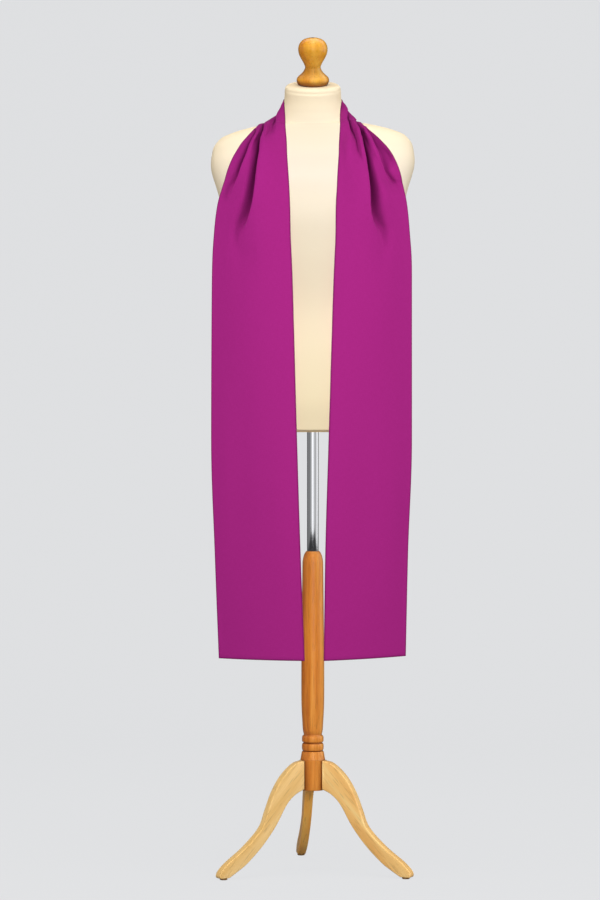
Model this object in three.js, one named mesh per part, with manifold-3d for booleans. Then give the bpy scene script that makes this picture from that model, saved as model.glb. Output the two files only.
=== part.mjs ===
// A tippet: a long pleated scarf of doubled cloth, worn open, resting on a dress form that
// stands on a turned wooden column with three sawn legs.
// Millimetres, +Z up, the front of the form looks along -Y, its right-hand side in a front
// view is +X. Every piece is built about the axis of the pole, and the whole group is then
// moved back so that the middle of its box stands over the origin, on the floor.
import * as THREE from 'three';
import { mergeVertices } from 'three/addons/utils/BufferGeometryUtils.js';
import Module from 'manifold-3d';

const wasm = await Module();
wasm.setup();

// ---- driving dimensions ----
const GAP = 0.3; // between pieces that touch
const AXIS_Y = -48; // the pole axis, back from the middle of the box

const CLOTH = { wall: 1, layer: 1.4, clear: 1.7, seam: 0.15, climb: 12 };
// layer: from one folded layer's middle to the next; clear: the cloth's middle above the form;
// climb: the width in which a panel climbs onto the fold beneath it

const POLE = { radius: 11.5, bore: 10, bottom: 430, top: 1001.7, plug: 20 };
const SOCKET = { radius: 11.9, top: 1002 }; // the hole up into the form
const COLUMN = { bore: 11.9, boreBottom: 262, bottom: 163, top: 641, flat: 19, ledge: 223.5, sides: 24 };
const LEG = { thick: 17.5 };
const LEG_TURNS = { leg_right: -28, leg_left: -148, leg_back: 96.5 }; // degrees from +X
const GLIDE = { radius: 7.5, height: 3, out: 207, sides: 20 };
const NECK_CAP = { lean: 17, edge: 9 };
const FINIAL = { dowel: 5, hole: 5.3, depth: 24, sides: 24 };

const COLOURS = {
  cloth: { color: 0xa52480, roughness: 0.85, metalness: 0 },
  form: { color: 0xf6ecd2, roughness: 0.9, metalness: 0 },
  finial: { color: 0xe3a23a, roughness: 0.35, metalness: 0 },
  column: { color: 0xc8782e, roughness: 0.35, metalness: 0 },
  leg: { color: 0xe3b665, roughness: 0.4, metalness: 0 },
  chrome: { color: 0xc9ccd0, roughness: 0.12, metalness: 1 },
  glide: { color: 0x4a3522, roughness: 0.7, metalness: 0 },
};

// The form, a level section to a row: half its width, its front and its back, and how square
// the section is (2 is an ellipse). Up the neck the sections lean forward, and its right-hand
// shoulder stands a little higher, both in degrees.
const FORM_ROWS = [
  { z: 882, half: 164, front: -96, back: 98, power: 2.25, lean: 0, roll: 0 },
  { z: 940, half: 168, front: -101, back: 104, power: 2.25, lean: 0, roll: 0 },
  { z: 1010, half: 154, front: -99, back: 96, power: 2.2, lean: 0, roll: 0 },
  { z: 1120, half: 131, front: -91, back: 67, power: 2.15, lean: 0, roll: 0 },
  { z: 1240, half: 156, front: -105, back: 80, power: 2.25, lean: 0, roll: 0.3 },
  { z: 1310, half: 175, front: -112, back: 95, power: 2.3, lean: 0, roll: 0.7 },
  { z: 1360, half: 189.5, front: -110, back: 101, power: 2.25, lean: 0, roll: 1 },
  { z: 1417, half: 203.7, front: -98, back: 105, power: 2.1, lean: 0, roll: 1.1 },
  { z: 1447, half: 200, front: -84, back: 102, power: 2, lean: 0, roll: 1.1 },
  { z: 1469, half: 185, front: -73, back: 95, power: 1.95, lean: 0, roll: 1.1 },
  { z: 1480, half: 161, front: -67, back: 90, power: 1.9, lean: 0, roll: 1.1 },
  { z: 1489, half: 128, front: -63, back: 85, power: 1.9, lean: 1, roll: 1.1 },
  { z: 1494, half: 106, front: -60, back: 81, power: 1.95, lean: 3, roll: 1.1 },
  { z: 1499, half: 87, front: -58, back: 77, power: 1.95, lean: 4.5, roll: 1.1 },
  { z: 1509, half: 72, front: -55, back: 71, power: 2, lean: 7, roll: 1 },
  { z: 1524, half: 62, front: -54, back: 65, power: 2, lean: 10, roll: 0.7 },
  { z: 1546, half: 56.7, front: -55, back: 57, power: 2, lean: 14, roll: 0.3 },
  { z: 1572, half: 55.5, front: -57, back: 49.2, power: 2, lean: NECK_CAP.lean, roll: 0 },
];

// The tippet's path, the same on both sides. A row is one line across the strip, from its
// inner (neck) edge to its outer edge: their heights and depths, and how far the middle bows
// out from the straight line.
const PATH_ROWS = [
  { at: 0, inZ: 1553, inY: 60, outZ: 1480, outY: 92, bow: 0 },
  { at: 1, inZ: 1550, inY: 47, outZ: 1481, outY: 83, bow: -4 },
  { at: 2, inZ: 1546, inY: 21, outZ: 1485, outY: 48, bow: -8 },
  { at: 3, inZ: 1540, inY: -6, outZ: 1491, outY: 3, bow: -9 },
  { at: 4, inZ: 1511, inY: -36, outZ: 1482, outY: -42, bow: -4 },
  { at: 5, inZ: 1478, inY: -64, outZ: 1463, outY: -52, bow: 3 },
  { at: 6, inZ: 1450, inY: -81, outZ: 1446, outY: -58, bow: 6 },
  { at: 7, inZ: 1422, inY: -94, outZ: 1422, outY: -62, bow: 9 },
  { at: 8, inZ: 1390, inY: -105, outZ: 1390, outY: -62, bow: 13 },
  { at: 9, inZ: 1356, inY: -112, outZ: 1358, outY: -60, bow: 17 },
  { at: 10, inZ: 1320, inY: -116, outZ: 1324, outY: -58, bow: 20 },
  { at: 11, inZ: 1268, inY: -118, outZ: 1272, outY: -56, bow: 21 },
  { at: 12, inZ: 1187, inY: -118, outZ: 1191, outY: -54, bow: 20 },
  { at: 13, inZ: 864, inY: -116, outZ: 868, outY: -51, bow: 14 },
  { at: 14, inZ: 640, inY: -115, outZ: 644, outY: -50, bow: 11 },
  { at: 15, inZ: 431, inY: -114, outZ: 436, outY: -50, bow: 9 },
];

// How far both edges of each half lie from the axis to its side, on the same lines.
const EDGE_ROWS = [
  { at: 0, leftIn: 0, leftOut: 0, rightIn: 0, rightOut: 0 },
  { at: 1, leftIn: 38, leftOut: 56, rightIn: 38, rightOut: 52 },
  { at: 2, leftIn: 56, leftOut: 97, rightIn: 55, rightOut: 84 },
  { at: 3, leftIn: 57.5, leftOut: 108, rightIn: 57, rightOut: 92 },
  { at: 4, leftIn: 55.5, leftOut: 118, rightIn: 54, rightOut: 112 },
  { at: 5, leftIn: 54.5, leftOut: 134, rightIn: 53, rightOut: 129.5 },
  { at: 6, leftIn: 53.5, leftOut: 146.5, rightIn: 51.5, rightOut: 145.5 },
  { at: 7, leftIn: 52.5, leftOut: 158, rightIn: 50.5, rightOut: 158.5 },
  { at: 8, leftIn: 50.5, leftOut: 170, rightIn: 48.5, rightOut: 170 },
  { at: 9, leftIn: 48.5, leftOut: 180, rightIn: 47, rightOut: 178.5 },
  { at: 10, leftIn: 47, leftOut: 188, rightIn: 45, rightOut: 185 },
  { at: 11, leftIn: 46.5, leftOut: 194, rightIn: 44.5, rightOut: 188.5 },
  { at: 12, leftIn: 43.5, leftOut: 198, rightIn: 41, rightOut: 192.5 },
  { at: 13, leftIn: 33.5, leftOut: 200, rightIn: 31, rightOut: 194.5 },
  { at: 14, leftIn: 25, leftOut: 194, rightIn: 24.5, rightOut: 188 },
  { at: 15, leftIn: 17, leftOut: 186, rightIn: 21.5, rightOut: 183.5 },
];

// The three pleats of each half, from the neck outward. place: where the fold's edge lies, as
// a share of the width that shows; under: how far the cloth turns back beneath it; drop: from
// the fold's edge down to the cloth it lies on; open: 0 a closed fold, 1 a soft valley of the
// given spread.
const LEFT_FOLDS = [
  [
    { at: 0, place: 0.3, under: 12, drop: 2.8, open: 0, spread: 6 },
    { at: 2, place: 0.32, under: 12, drop: 2.8, open: 0, spread: 6 },
    { at: 3.3, place: 0.29, under: 8, drop: 3, open: 0, spread: 6 },
    { at: 4.2, place: 0.31, under: 2, drop: 3, open: 0.5, spread: 8 },
    { at: 5, place: 0.3, under: 0, drop: 0, open: 1, spread: 12 },
    { at: 15, place: 0.3, under: 0, drop: 0, open: 1, spread: 12 },
  ],
  [
    { at: 0, place: 0.55, under: 15, drop: 2.8, open: 0, spread: 6 },
    { at: 2, place: 0.66, under: 15, drop: 2.8, open: 0, spread: 6 },
    { at: 3, place: 0.84, under: 15, drop: 2.8, open: 0, spread: 6 },
    { at: 4, place: 0.72, under: 14, drop: 4, open: 0, spread: 6 },
    { at: 5, place: 0.58, under: 12, drop: 6.5, open: 0, spread: 6 },
    { at: 6, place: 0.53, under: 9, drop: 8, open: 0, spread: 6 },
    { at: 7, place: 0.5, under: 6, drop: 9, open: 0, spread: 6 },
    { at: 8, place: 0.455, under: 3, drop: 10, open: 0.2, spread: 8 },
    { at: 9, place: 0.44, under: 1, drop: 9, open: 0.7, spread: 12 },
    { at: 10, place: 0.45, under: 0, drop: 6.5, open: 1, spread: 18 },
    { at: 11.2, place: 0.56, under: 0, drop: 0, open: 1, spread: 24 },
    { at: 15, place: 0.6, under: 0, drop: 0, open: 1, spread: 24 },
  ],
  [
    { at: 0, place: 0.8, under: 12, drop: 2.8, open: 0, spread: 6 },
    { at: 2, place: 0.92, under: 12, drop: 2.8, open: 0, spread: 6 },
    { at: 3, place: 1, under: 10, drop: 2.8, open: 0, spread: 6 },
    { at: 4, place: 0.92, under: 10, drop: 3.4, open: 0, spread: 6 },
    { at: 5, place: 0.76, under: 8, drop: 5.5, open: 0, spread: 8 },
    { at: 6, place: 0.73, under: 5, drop: 7, open: 0.1, spread: 8 },
    { at: 7, place: 0.72, under: 2, drop: 7.5, open: 0.5, spread: 12 },
    { at: 8, place: 0.745, under: 0, drop: 6.5, open: 0.9, spread: 16 },
    { at: 9.6, place: 0.83, under: 0, drop: 0, open: 1, spread: 18 },
    { at: 15, place: 0.83, under: 0, drop: 0, open: 1, spread: 18 },
  ],
];
const RIGHT_FOLDS = [
  [
    { at: 0, place: 0.3, under: 12, drop: 2.8, open: 0, spread: 6 },
    { at: 2, place: 0.37, under: 12, drop: 2.8, open: 0, spread: 6 },
    { at: 3, place: 0.45, under: 10, drop: 3.4, open: 0, spread: 6 },
    { at: 4, place: 0.34, under: 8, drop: 5, open: 0, spread: 6 },
    { at: 5, place: 0.3, under: 3, drop: 4.5, open: 0.4, spread: 8 },
    { at: 6.2, place: 0.28, under: 0, drop: 0, open: 1, spread: 14 },
    { at: 15, place: 0.28, under: 0, drop: 0, open: 1, spread: 14 },
  ],
  [
    { at: 0, place: 0.55, under: 15, drop: 2.8, open: 0, spread: 6 },
    { at: 2, place: 0.74, under: 15, drop: 2.8, open: 0, spread: 6 },
    { at: 3, place: 0.94, under: 15, drop: 2.8, open: 0, spread: 6 },
    { at: 4, place: 0.63, under: 14, drop: 4, open: 0, spread: 6 },
    { at: 5, place: 0.535, under: 12, drop: 6.5, open: 0, spread: 6 },
    { at: 6, place: 0.51, under: 10, drop: 9, open: 0, spread: 6 },
    { at: 7, place: 0.47, under: 7, drop: 10, open: 0, spread: 6 },
    { at: 8, place: 0.437, under: 4, drop: 10, open: 0.1, spread: 8 },
    { at: 9, place: 0.445, under: 1, drop: 9.5, open: 0.6, spread: 12 },
    { at: 10, place: 0.47, under: 0, drop: 7, open: 1, spread: 17 },
    { at: 11.2, place: 0.56, under: 0, drop: 0, open: 1, spread: 24 },
    { at: 15, place: 0.58, under: 0, drop: 0, open: 1, spread: 24 },
  ],
  [
    { at: 0, place: 0.8, under: 12, drop: 2.8, open: 0, spread: 6 },
    { at: 2, place: 0.95, under: 12, drop: 2.8, open: 0, spread: 6 },
    { at: 3, place: 1, under: 10, drop: 2.8, open: 0, spread: 6 },
    { at: 4, place: 0.9, under: 10, drop: 3.4, open: 0, spread: 6 },
    { at: 5, place: 0.755, under: 8, drop: 6, open: 0, spread: 8 },
    { at: 6, place: 0.72, under: 4, drop: 8, open: 0.2, spread: 12 },
    { at: 7, place: 0.71, under: 1, drop: 8.5, open: 0.6, spread: 20 },
    { at: 8, place: 0.765, under: 0, drop: 6, open: 1, spread: 22 },
    { at: 9.3, place: 0.86, under: 0, drop: 0, open: 1, spread: 20 },
    { at: 15, place: 0.86, under: 0, drop: 0, open: 1, spread: 20 },
  ],
];

// ---- tables read smoothly ----

// All columns of a table at one value of its key, on a smooth curve that never overshoots.
function tableAt(rows, key, at) {
  const last = rows.length - 1;
  const inside = Math.min(Math.max(at, rows[0][key]), rows[last][key]);
  let i = 0;
  while (i < last - 1 && inside > rows[i + 1][key]) i += 1;
  const span = rows[i + 1][key] - rows[i][key];
  const u = (inside - rows[i][key]) / span;
  const result = {};
  for (const column of Object.keys(rows[0])) {
    const slope = (j) => (rows[j + 1][column] - rows[j][column]) / (rows[j + 1][key] - rows[j][key]);
    const tangent = (j) => {
      if (j === 0) return slope(0);
      if (j === last) return slope(last - 1);
      const before = slope(j - 1);
      const after = slope(j);
      return before * after > 0 ? (2 * before * after) / (before + after) : 0;
    };
    const a = rows[i][column];
    const b = rows[i + 1][column];
    const ta = tangent(i) * span;
    const tb = tangent(i + 1) * span;
    result[column] = a + u * (ta + u * (3 * (b - a) - 2 * ta - tb + u * (2 * (a - b) + ta + tb)));
  }
  return result;
}

const smoothStep = (x) => {
  const t = Math.min(Math.max(x, 0), 1);
  return t * t * (3 - 2 * t);
};
const mix = (a, b, t) => a + (b - a) * t;
const radians = (degrees) => THREE.MathUtils.degToRad(degrees);

// ---- solids from rings and grids ----

// A closed body from a list of points and triangles, its faces turned outward.
function solidFrom(points, triangles) {
  const geometry = new THREE.BufferGeometry();
  const numbers = points.flatMap((p) => [p.x, p.y, p.z]);
  geometry.setAttribute('position', new THREE.Float32BufferAttribute(numbers, 3));
  let volume = 0;
  for (const [a, b, c] of triangles) {
    volume += points[a].dot(new THREE.Vector3().crossVectors(points[b], points[c]));
  }
  const turned = volume > 0 ? triangles : triangles.map(([a, b, c]) => [a, c, b]);
  geometry.setIndex(turned.flat());
  return geometry;
}

// Rings of equal count, one after another, closed over the middle of the first and the last.
function ringsToSolid(rings) {
  const count = rings[0].length;
  const points = rings.flat();
  const triangles = [];
  for (let r = 0; r < rings.length - 1; r += 1) {
    for (let i = 0; i < count; i += 1) {
      const j = (i + 1) % count;
      const low = r * count;
      const high = low + count;
      triangles.push([low + i, low + j, high + j], [low + i, high + j, high + i]);
    }
  }
  const middle = (ring) => ring.reduce((sum, p) => sum.add(p), new THREE.Vector3()).divideScalar(count);
  const first = points.push(middle(rings[0])) - 1;
  const end = points.push(middle(rings[rings.length - 1])) - 1;
  const top = (rings.length - 1) * count;
  for (let i = 0; i < count; i += 1) {
    const j = (i + 1) % count;
    triangles.push([first, j, i], [end, top + i, top + j]);
  }
  return solidFrom(points, triangles);
}

// A sheet with two faces: grids of equal size for its outer and its inner face, and a rim.
function sheetToSolid(outer, inner) {
  const rows = outer.length;
  const columns = outer[0].length;
  const points = [...outer.flat(), ...inner.flat()];
  const back = rows * columns;
  const triangles = [];
  const quad = (a, b, c, d) => triangles.push([a, b, c], [a, c, d]);
  for (let r = 0; r < rows - 1; r += 1) {
    for (let c = 0; c < columns - 1; c += 1) {
      const a = r * columns + c;
      quad(a, a + 1, a + columns + 1, a + columns);
      quad(back + a, back + a + columns, back + a + columns + 1, back + a + 1);
    }
  }
  for (let c = 0; c < columns - 1; c += 1) {
    const last = (rows - 1) * columns + c;
    quad(c, back + c, back + c + 1, c + 1);
    quad(last, last + 1, back + last + 1, back + last);
  }
  for (let r = 0; r < rows - 1; r += 1) {
    const a = r * columns;
    const b = a + columns - 1;
    quad(a, a + columns, back + a + columns, back + a);
    quad(b, back + b, back + b + columns, b + columns);
  }
  return solidFrom(points, triangles);
}

const circleRing = (radius, z, count) =>
  Array.from({ length: count }, (_, i) => {
    const turn = (2 * Math.PI * i) / count;
    return new THREE.Vector3(radius * Math.cos(turn), radius * Math.sin(turn), z);
  });

// ---- the dress form ----

const FORM_SIDES = 48;
const FORM_LEVELS = [
  890, 910, 940, 975, 1010, 1050, 1090, 1125, 1160, 1200, 1240, 1275, 1310, 1340, 1368,
  1394, 1417, 1435, 1450, 1462, 1472, 1480, 1487, 1493, 1500, 1510, 1524, 1540, 1556,
];

// A point on one section, given by its turn round the axis, drawn in by a margin.
function sectionPoint(section, turn, margin) {
  const middle = (section.front + section.back) / 2;
  const deep = (section.back - section.front) / 2 - margin;
  const round = (v) => Math.sign(v) * Math.abs(v) ** (2 / section.power);
  const x = (section.half - margin) * round(Math.cos(turn));
  const y = deep * round(Math.sin(turn));
  const rise = y * Math.tan(radians(section.lean)) + x * Math.tan(radians(section.roll));
  return new THREE.Vector3(x, middle + y, section.z + rise);
}

function sectionRing(section, margin) {
  const turns = Array.from({ length: FORM_SIDES }, (_, i) => (2 * Math.PI * i) / FORM_SIDES);
  return turns.map((turn) => sectionPoint(section, turn, margin));
}

// Less than 0 inside the form and more outside it, by the section that passes through the point.
function formValue(x, y, z) {
  let section = tableAt(FORM_ROWS, 'z', z);
  for (let i = 0; i < 2; i += 1) {
    const back = y - (section.front + section.back) / 2;
    const rise = back * Math.tan(radians(section.lean)) + x * Math.tan(radians(section.roll));
    section = tableAt(FORM_ROWS, 'z', z - rise);
  }
  const middle = (section.front + section.back) / 2;
  const deep = (section.back - section.front) / 2;
  const sum = Math.abs(x / section.half) ** section.power + Math.abs((y - middle) / deep) ** section.power;
  return sum ** (1 / section.power) - 1;
}

// The point itself, or the nearest place that is clear of the form.
function clearOfForm(point, clear) {
  const moved = point.clone();
  for (let i = 0; i < 4; i += 1) {
    const { x, y, z } = moved;
    const rise = new THREE.Vector3(
      formValue(x + 1, y, z) - formValue(x - 1, y, z),
      formValue(x, y + 1, z) - formValue(x, y - 1, z),
      formValue(x, y, z + 1) - formValue(x, y, z - 1),
    ).divideScalar(2);
    const distance = formValue(x, y, z) / rise.length();
    if (distance >= clear) return moved;
    moved.addScaledVector(rise.normalize(), clear - distance);
  }
  return moved;
}

// The neck's flat top has a frame of its own: its middle, and its lean about the X axis.
const capSection = FORM_ROWS[FORM_ROWS.length - 1];
const capMiddle = new THREE.Vector3(0, (capSection.front + capSection.back) / 2, capSection.z);
const capLean = radians(NECK_CAP.lean);
const acrossAxis = new THREE.Vector3(1, 0, 0);

const capRing = (radius, height) =>
  circleRing(radius, height, FORM_SIDES).map((p) => p.applyAxisAngle(acrossAxis, capLean).add(capMiddle));

// Solid, from the top of the pole's socket down and out over the bottom, up the outside,
// round the neck's rim and down the hole for the finial's dowel.
function formGeometry() {
  const bottom = FORM_ROWS[0];
  const rings = [
    circleRing(SOCKET.radius, SOCKET.top, FORM_SIDES),
    circleRing(SOCKET.radius, bottom.z, FORM_SIDES),
    sectionRing(bottom, 4),
    sectionRing({ ...bottom, z: bottom.z + 1.2 }, 1.2),
    sectionRing({ ...bottom, z: bottom.z + 4 }, 0),
  ];
  for (const z of FORM_LEVELS) rings.push(sectionRing(tableAt(FORM_ROWS, 'z', z), 0));
  for (const turn of [0, 30, 60, 90]) {
    const out = capSection.half - NECK_CAP.edge * (1 - Math.cos(radians(turn)));
    rings.push(capRing(out, NECK_CAP.edge * (Math.sin(radians(turn)) - 1)));
  }
  rings.push(capRing(FINIAL.hole, 0), capRing(FINIAL.hole, -FINIAL.depth));
  return ringsToSolid(rings);
}

// ---- the tippet ----

// The lines across the strip at which the cloth is worked out, closest where it is pleated.
function stations() {
  const list = [];
  for (let step = 0; step < 6; step += 1) list.push(step / 3);
  for (let at = 2; at < 5; at += 1 / 4) list.push(at);
  for (let at = 5; at <= 15; at += 1 / 2) list.push(at);
  return list;
}

// A place on the smooth surface under the pleats: share runs from the inner edge to the outer.
function basePoint(side, at, share) {
  const edges = (value) => {
    const row = tableAt(PATH_ROWS, 'at', value);
    const reach = tableAt(EDGE_ROWS, 'at', value);
    const [inX, outX] = side > 0 ? [reach.rightIn, reach.rightOut] : [reach.leftIn, reach.leftOut];
    const inner = new THREE.Vector3(side * (inX + CLOTH.seam), row.inY, row.inZ);
    const outer = new THREE.Vector3(side * (outX + CLOTH.seam), row.outY, row.outZ);
    return { inner, outer, bow: row.bow };
  };
  const here = edges(at);
  const before = edges(Math.max(at - 0.2, 0));
  const after = edges(Math.min(at + 0.2, 15));
  const along = after.inner.add(after.outer).sub(before.inner).sub(before.outer);
  const across = here.outer.clone().sub(here.inner);
  const outward = new THREE.Vector3().crossVectors(along, across).multiplyScalar(side).normalize();
  const point = here.inner.clone().addScaledVector(across, share);
  point.addScaledVector(outward, here.bow * 4 * share * (1 - share));
  return clearOfForm(point, CLOTH.clear);
}

// The same place raised by a height straight off that surface.
function clothPoint(side, at, share, height) {
  const step = 0.02;
  const base = basePoint(side, at, share);
  const across = basePoint(side, at, share + step).sub(basePoint(side, at, share - step));
  const before = basePoint(side, Math.max(at - 0.1, 0), share);
  const along = basePoint(side, Math.min(at + 0.1, 15), share).sub(before);
  const outward = new THREE.Vector3().crossVectors(along, across).multiplyScalar(side).normalize();
  const point = base.addScaledVector(outward, height);
  if (at === 0) point.x = side * CLOTH.seam;
  return point;
}

// The length across the smooth surface at one station.
function widthAt(side, at) {
  const steps = 8;
  let width = 0;
  for (let i = 0; i < steps; i += 1) {
    width += basePoint(side, at, i / steps).distanceTo(basePoint(side, at, (i + 1) / steps));
  }
  return width;
}

// One line across the cloth as distances across and heights, with its three pleats: each
// panel rises to its fold's edge, the cloth turns back under it and the next panel sets off.
function pleatLine(folds, at, width) {
  const states = folds.map((rows) => tableAt(rows, 'at', at));
  let level = 0; // how high the next fold outward stands
  for (let i = states.length - 1; i >= 0; i -= 1) {
    const fold = states[i];
    const next = states[i + 1];
    fold.edge = fold.place * width;
    fold.turn = fold.edge - fold.under;
    const stacked = next ? level * smoothStep(1 - (next.turn - fold.edge) / CLOTH.climb) : 0;
    const passed = next ? level * Math.min(fold.edge / next.turn, 1) : 0;
    fold.foot = mix(passed, stacked, Math.min(fold.drop / (2 * CLOTH.layer), 1));
    fold.top = fold.foot + fold.drop;
    level = fold.top;
  }
  const line = [[0, 0]];
  let start = { out: 0, foot: 0 };
  for (const fold of states) {
    const radius = Math.min(fold.drop / 4, 2);
    const closed = [
      [fold.edge - radius, fold.top],
      [fold.edge, fold.top - radius],
      [fold.edge - radius, fold.top - 2 * radius],
      [fold.turn, fold.foot + Math.min(fold.drop / 2, CLOTH.layer)],
      [fold.turn, fold.foot],
    ];
    const step = closed.map((_, k) => {
      const share = k / (closed.length - 1);
      return [fold.edge + fold.spread * (share - 0.3), fold.foot + fold.drop * (1 - smoothStep(share))];
    });
    const turned = closed.map(([w, h], k) => [mix(w, step[k][0], fold.open), mix(h, step[k][1], fold.open)]);
    const climbEnd = Math.min(turned[0][0], turned[3][0], turned[4][0]) - 1.5;
    const climbStart = Math.min(Math.max(start.out + 2, mix(start.out, climbEnd, 0.1)), climbEnd - 1);
    line.push([climbStart, start.foot]);
    line.push([(climbStart + climbEnd) / 2, (start.foot + fold.top) / 2]);
    line.push([climbEnd, fold.top], ...turned);
    start = { out: Math.max(fold.edge, turned[4][0]), foot: fold.foot };
  }
  const from = line[line.length - 1][0];
  line.push([mix(from, width, 1 / 3), 0], [mix(from, width, 2 / 3), 0], [width, 0]);
  return line;
}

// The line moved sideways by a distance, its corners kept at full thickness.
function offsetLine(line, distance) {
  const normals = line.slice(1).map(([w, h], i) => {
    const dw = w - line[i][0];
    const dh = h - line[i][1];
    const length = Math.hypot(dw, dh);
    return [-dh / length, dw / length];
  });
  return line.map(([w, h], i) => {
    const a = normals[Math.max(i - 1, 0)];
    const b = normals[Math.min(i, normals.length - 1)];
    const sum = [a[0] + b[0], a[1] + b[1]];
    const square = Math.max(sum[0] ** 2 + sum[1] ** 2, 1.2);
    return [w + (2 * distance * sum[0]) / square, h + (2 * distance * sum[1]) / square];
  });
}

function tippetGeometry(side, folds) {
  const outer = [];
  const inner = [];
  for (const at of stations()) {
    const width = widthAt(side, at);
    const line = pleatLine(folds, at, width);
    const lay = (moved) => moved.map(([w, h]) => clothPoint(side, at, w / width, h));
    outer.push(lay(offsetLine(line, CLOTH.wall / 2)));
    inner.push(lay(offsetLine(line, -CLOTH.wall / 2)));
  }
  return sheetToSolid(outer, inner);
}

// ---- turned wood and metal ----

// A closed body with one position for each corner, and the same body as a manifold.
function tidySolid(geometry) {
  geometry.deleteAttribute('normal');
  geometry.deleteAttribute('uv');
  const merged = mergeVertices(geometry, 1e-4);
  const spots = merged.getAttribute('position');
  const place = (i) => new THREE.Vector3().fromBufferAttribute(spots, i);
  const points = Array.from({ length: spots.count }, (_, i) => place(i));
  const triangles = [];
  for (let i = 0; i < merged.index.count; i += 3) {
    const corners = [0, 1, 2].map((k) => merged.index.getX(i + k));
    if (new Set(corners).size === 3) triangles.push(corners);
  }
  return solidFrom(points, triangles);
}

// A lathe piece about +Z, from pairs of radius and height.
function turnedGeometry(profile, sides) {
  const geometry = new THREE.LatheGeometry(profile.map(([r, z]) => new THREE.Vector2(r, z)), sides);
  return tidySolid(geometry.rotateX(Math.PI / 2));
}

function toManifold(geometry) {
  const vertProperties = new Float32Array(geometry.getAttribute('position').array);
  const triVerts = new Uint32Array(geometry.index.array);
  return new wasm.Manifold(new wasm.Mesh({ numProp: 3, vertProperties, triVerts }));
}

function fromManifold(solid) {
  const mesh = solid.getMesh();
  const geometry = new THREE.BufferGeometry();
  geometry.setAttribute('position', new THREE.Float32BufferAttribute(mesh.vertProperties, 3));
  geometry.setIndex(Array.from(mesh.triVerts));
  return geometry;
}

// The knob from its seat on the neck up, and its dowel below the seat.
const FINIAL_PROFILE = [
  [0, 1 - FINIAL.depth], [FINIAL.dowel, 1 - FINIAL.depth], [FINIAL.dowel, GAP], [27, GAP],
  [30, 2], [31.8, 5], [32, 8.5], [30.6, 12], [27, 16.5], [22.5, 22], [18.8, 28], [16.8, 34],
  [16.8, 39], [18.6, 45], [22.4, 53], [26.3, 61], [28.6, 68.5], [29, 75], [27.2, 83],
  [22.5, 90], [15, 95.5], [7, 98.3], [0, 99],
];

// A tube, open below and plugged at its top.
const POLE_PROFILE = [
  [0, POLE.top], [POLE.radius, POLE.top], [POLE.radius, POLE.bottom], [POLE.bore, POLE.bottom],
  [POLE.bore, POLE.top - POLE.plug], [0, POLE.top - POLE.plug],
];

// Up the outside of the column: its foot, the block that takes the legs, two beads, the long
// swelling shaft and the dome, and then down the bore.
const COLUMN_PROFILE = [
  [0, COLUMN.bottom], [22.5, COLUMN.bottom], [23.6, 166], [24.4, 190], [24.8, 221], [23.6, 230],
  [22, 238], [20.2, 240.5], [21, 243.5], [21.6, 249], [21, 254], [19.8, 257], [21, 260.5],
  [21.5, 265.5], [20.8, 270.5], [18.4, 273], [18.4, 276.5], [19.8, 284], [21, 300], [22.2, 322],
  [22.9, 350], [22.9, 420], [22.3, 480], [21.5, 550], [20.8, 610], [20.2, 622], [18.4, 631],
  [15.6, 637.5], [COLUMN.bore + 1.2, COLUMN.top], [COLUMN.bore, COLUMN.top - 1],
  [COLUMN.bore, COLUMN.boreBottom], [0, COLUMN.boreBottom],
];

// The column, cut back to a flat under the ledge wherever a leg butts against it.
function columnGeometry() {
  const cutter = { out: 30, wide: 60, low: COLUMN.bottom - 10 };
  let column = toManifold(turnedGeometry(COLUMN_PROFILE, COLUMN.sides));
  for (const turn of Object.values(LEG_TURNS)) {
    const box = new THREE.BoxGeometry(cutter.out, cutter.wide, COLUMN.ledge - cutter.low);
    box.translate(COLUMN.flat + cutter.out / 2, 0, (COLUMN.ledge + cutter.low) / 2);
    column = column.subtract(toManifold(tidySolid(box.rotateZ(radians(turn)))));
  }
  return fromManifold(column);
}

// ---- the legs ----

// The sawn outline of a leg by distance from the axis and height: over the top from the
// column to the toe, and back along the underside from the flat that stands on the glide.
const LEG_BUTT = COLUMN.flat + GAP;
const LEG_TOP = [
  [LEG_BUTT, COLUMN.ledge - GAP], [44, 218], [73, 195], [94, 164], [109, 129], [124, 95], [161, 60],
  [201, 32], [217, 17], [221, 9],
];
const LEG_UNDER = [
  [198, GLIDE.height + GAP], [176, 16], [155, 30], [121, 61], [91, 97], [66, 137], [46, 156],
  [LEG_BUTT, 165],
];

function legGeometry() {
  const spots = (pairs) => pairs.map(([r, z]) => new THREE.Vector2(r, z));
  const curve = (pairs, steps) => new THREE.SplineCurve(spots(pairs)).getPoints(steps);
  const toe = spots([[219.5, GLIDE.height + 2], [216, GLIDE.height + GAP]]);
  const outline = new THREE.Shape([...curve(LEG_TOP, 20), ...toe, ...curve(LEG_UNDER, 16)]);
  const board = new THREE.ExtrudeGeometry(outline, { depth: LEG.thick, bevelEnabled: false });
  return tidySolid(board.rotateX(Math.PI / 2).translate(0, LEG.thick / 2, 0));
}

function glideGeometry() {
  const { radius, height } = GLIDE;
  const profile = [[0, 0], [radius - 0.6, 0], [radius, 0.6], [radius, height], [0, height]];
  return turnedGeometry(profile, GLIDE.sides);
}

// ---- the whole, standing on the floor ----

const standing = new THREE.Group();

function addPiece(name, geometry, look) {
  geometry.computeVertexNormals();
  const mesh = new THREE.Mesh(geometry, new THREE.MeshStandardMaterial(COLOURS[look]));
  mesh.name = name;
  standing.add(mesh);
  return mesh;
}

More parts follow.
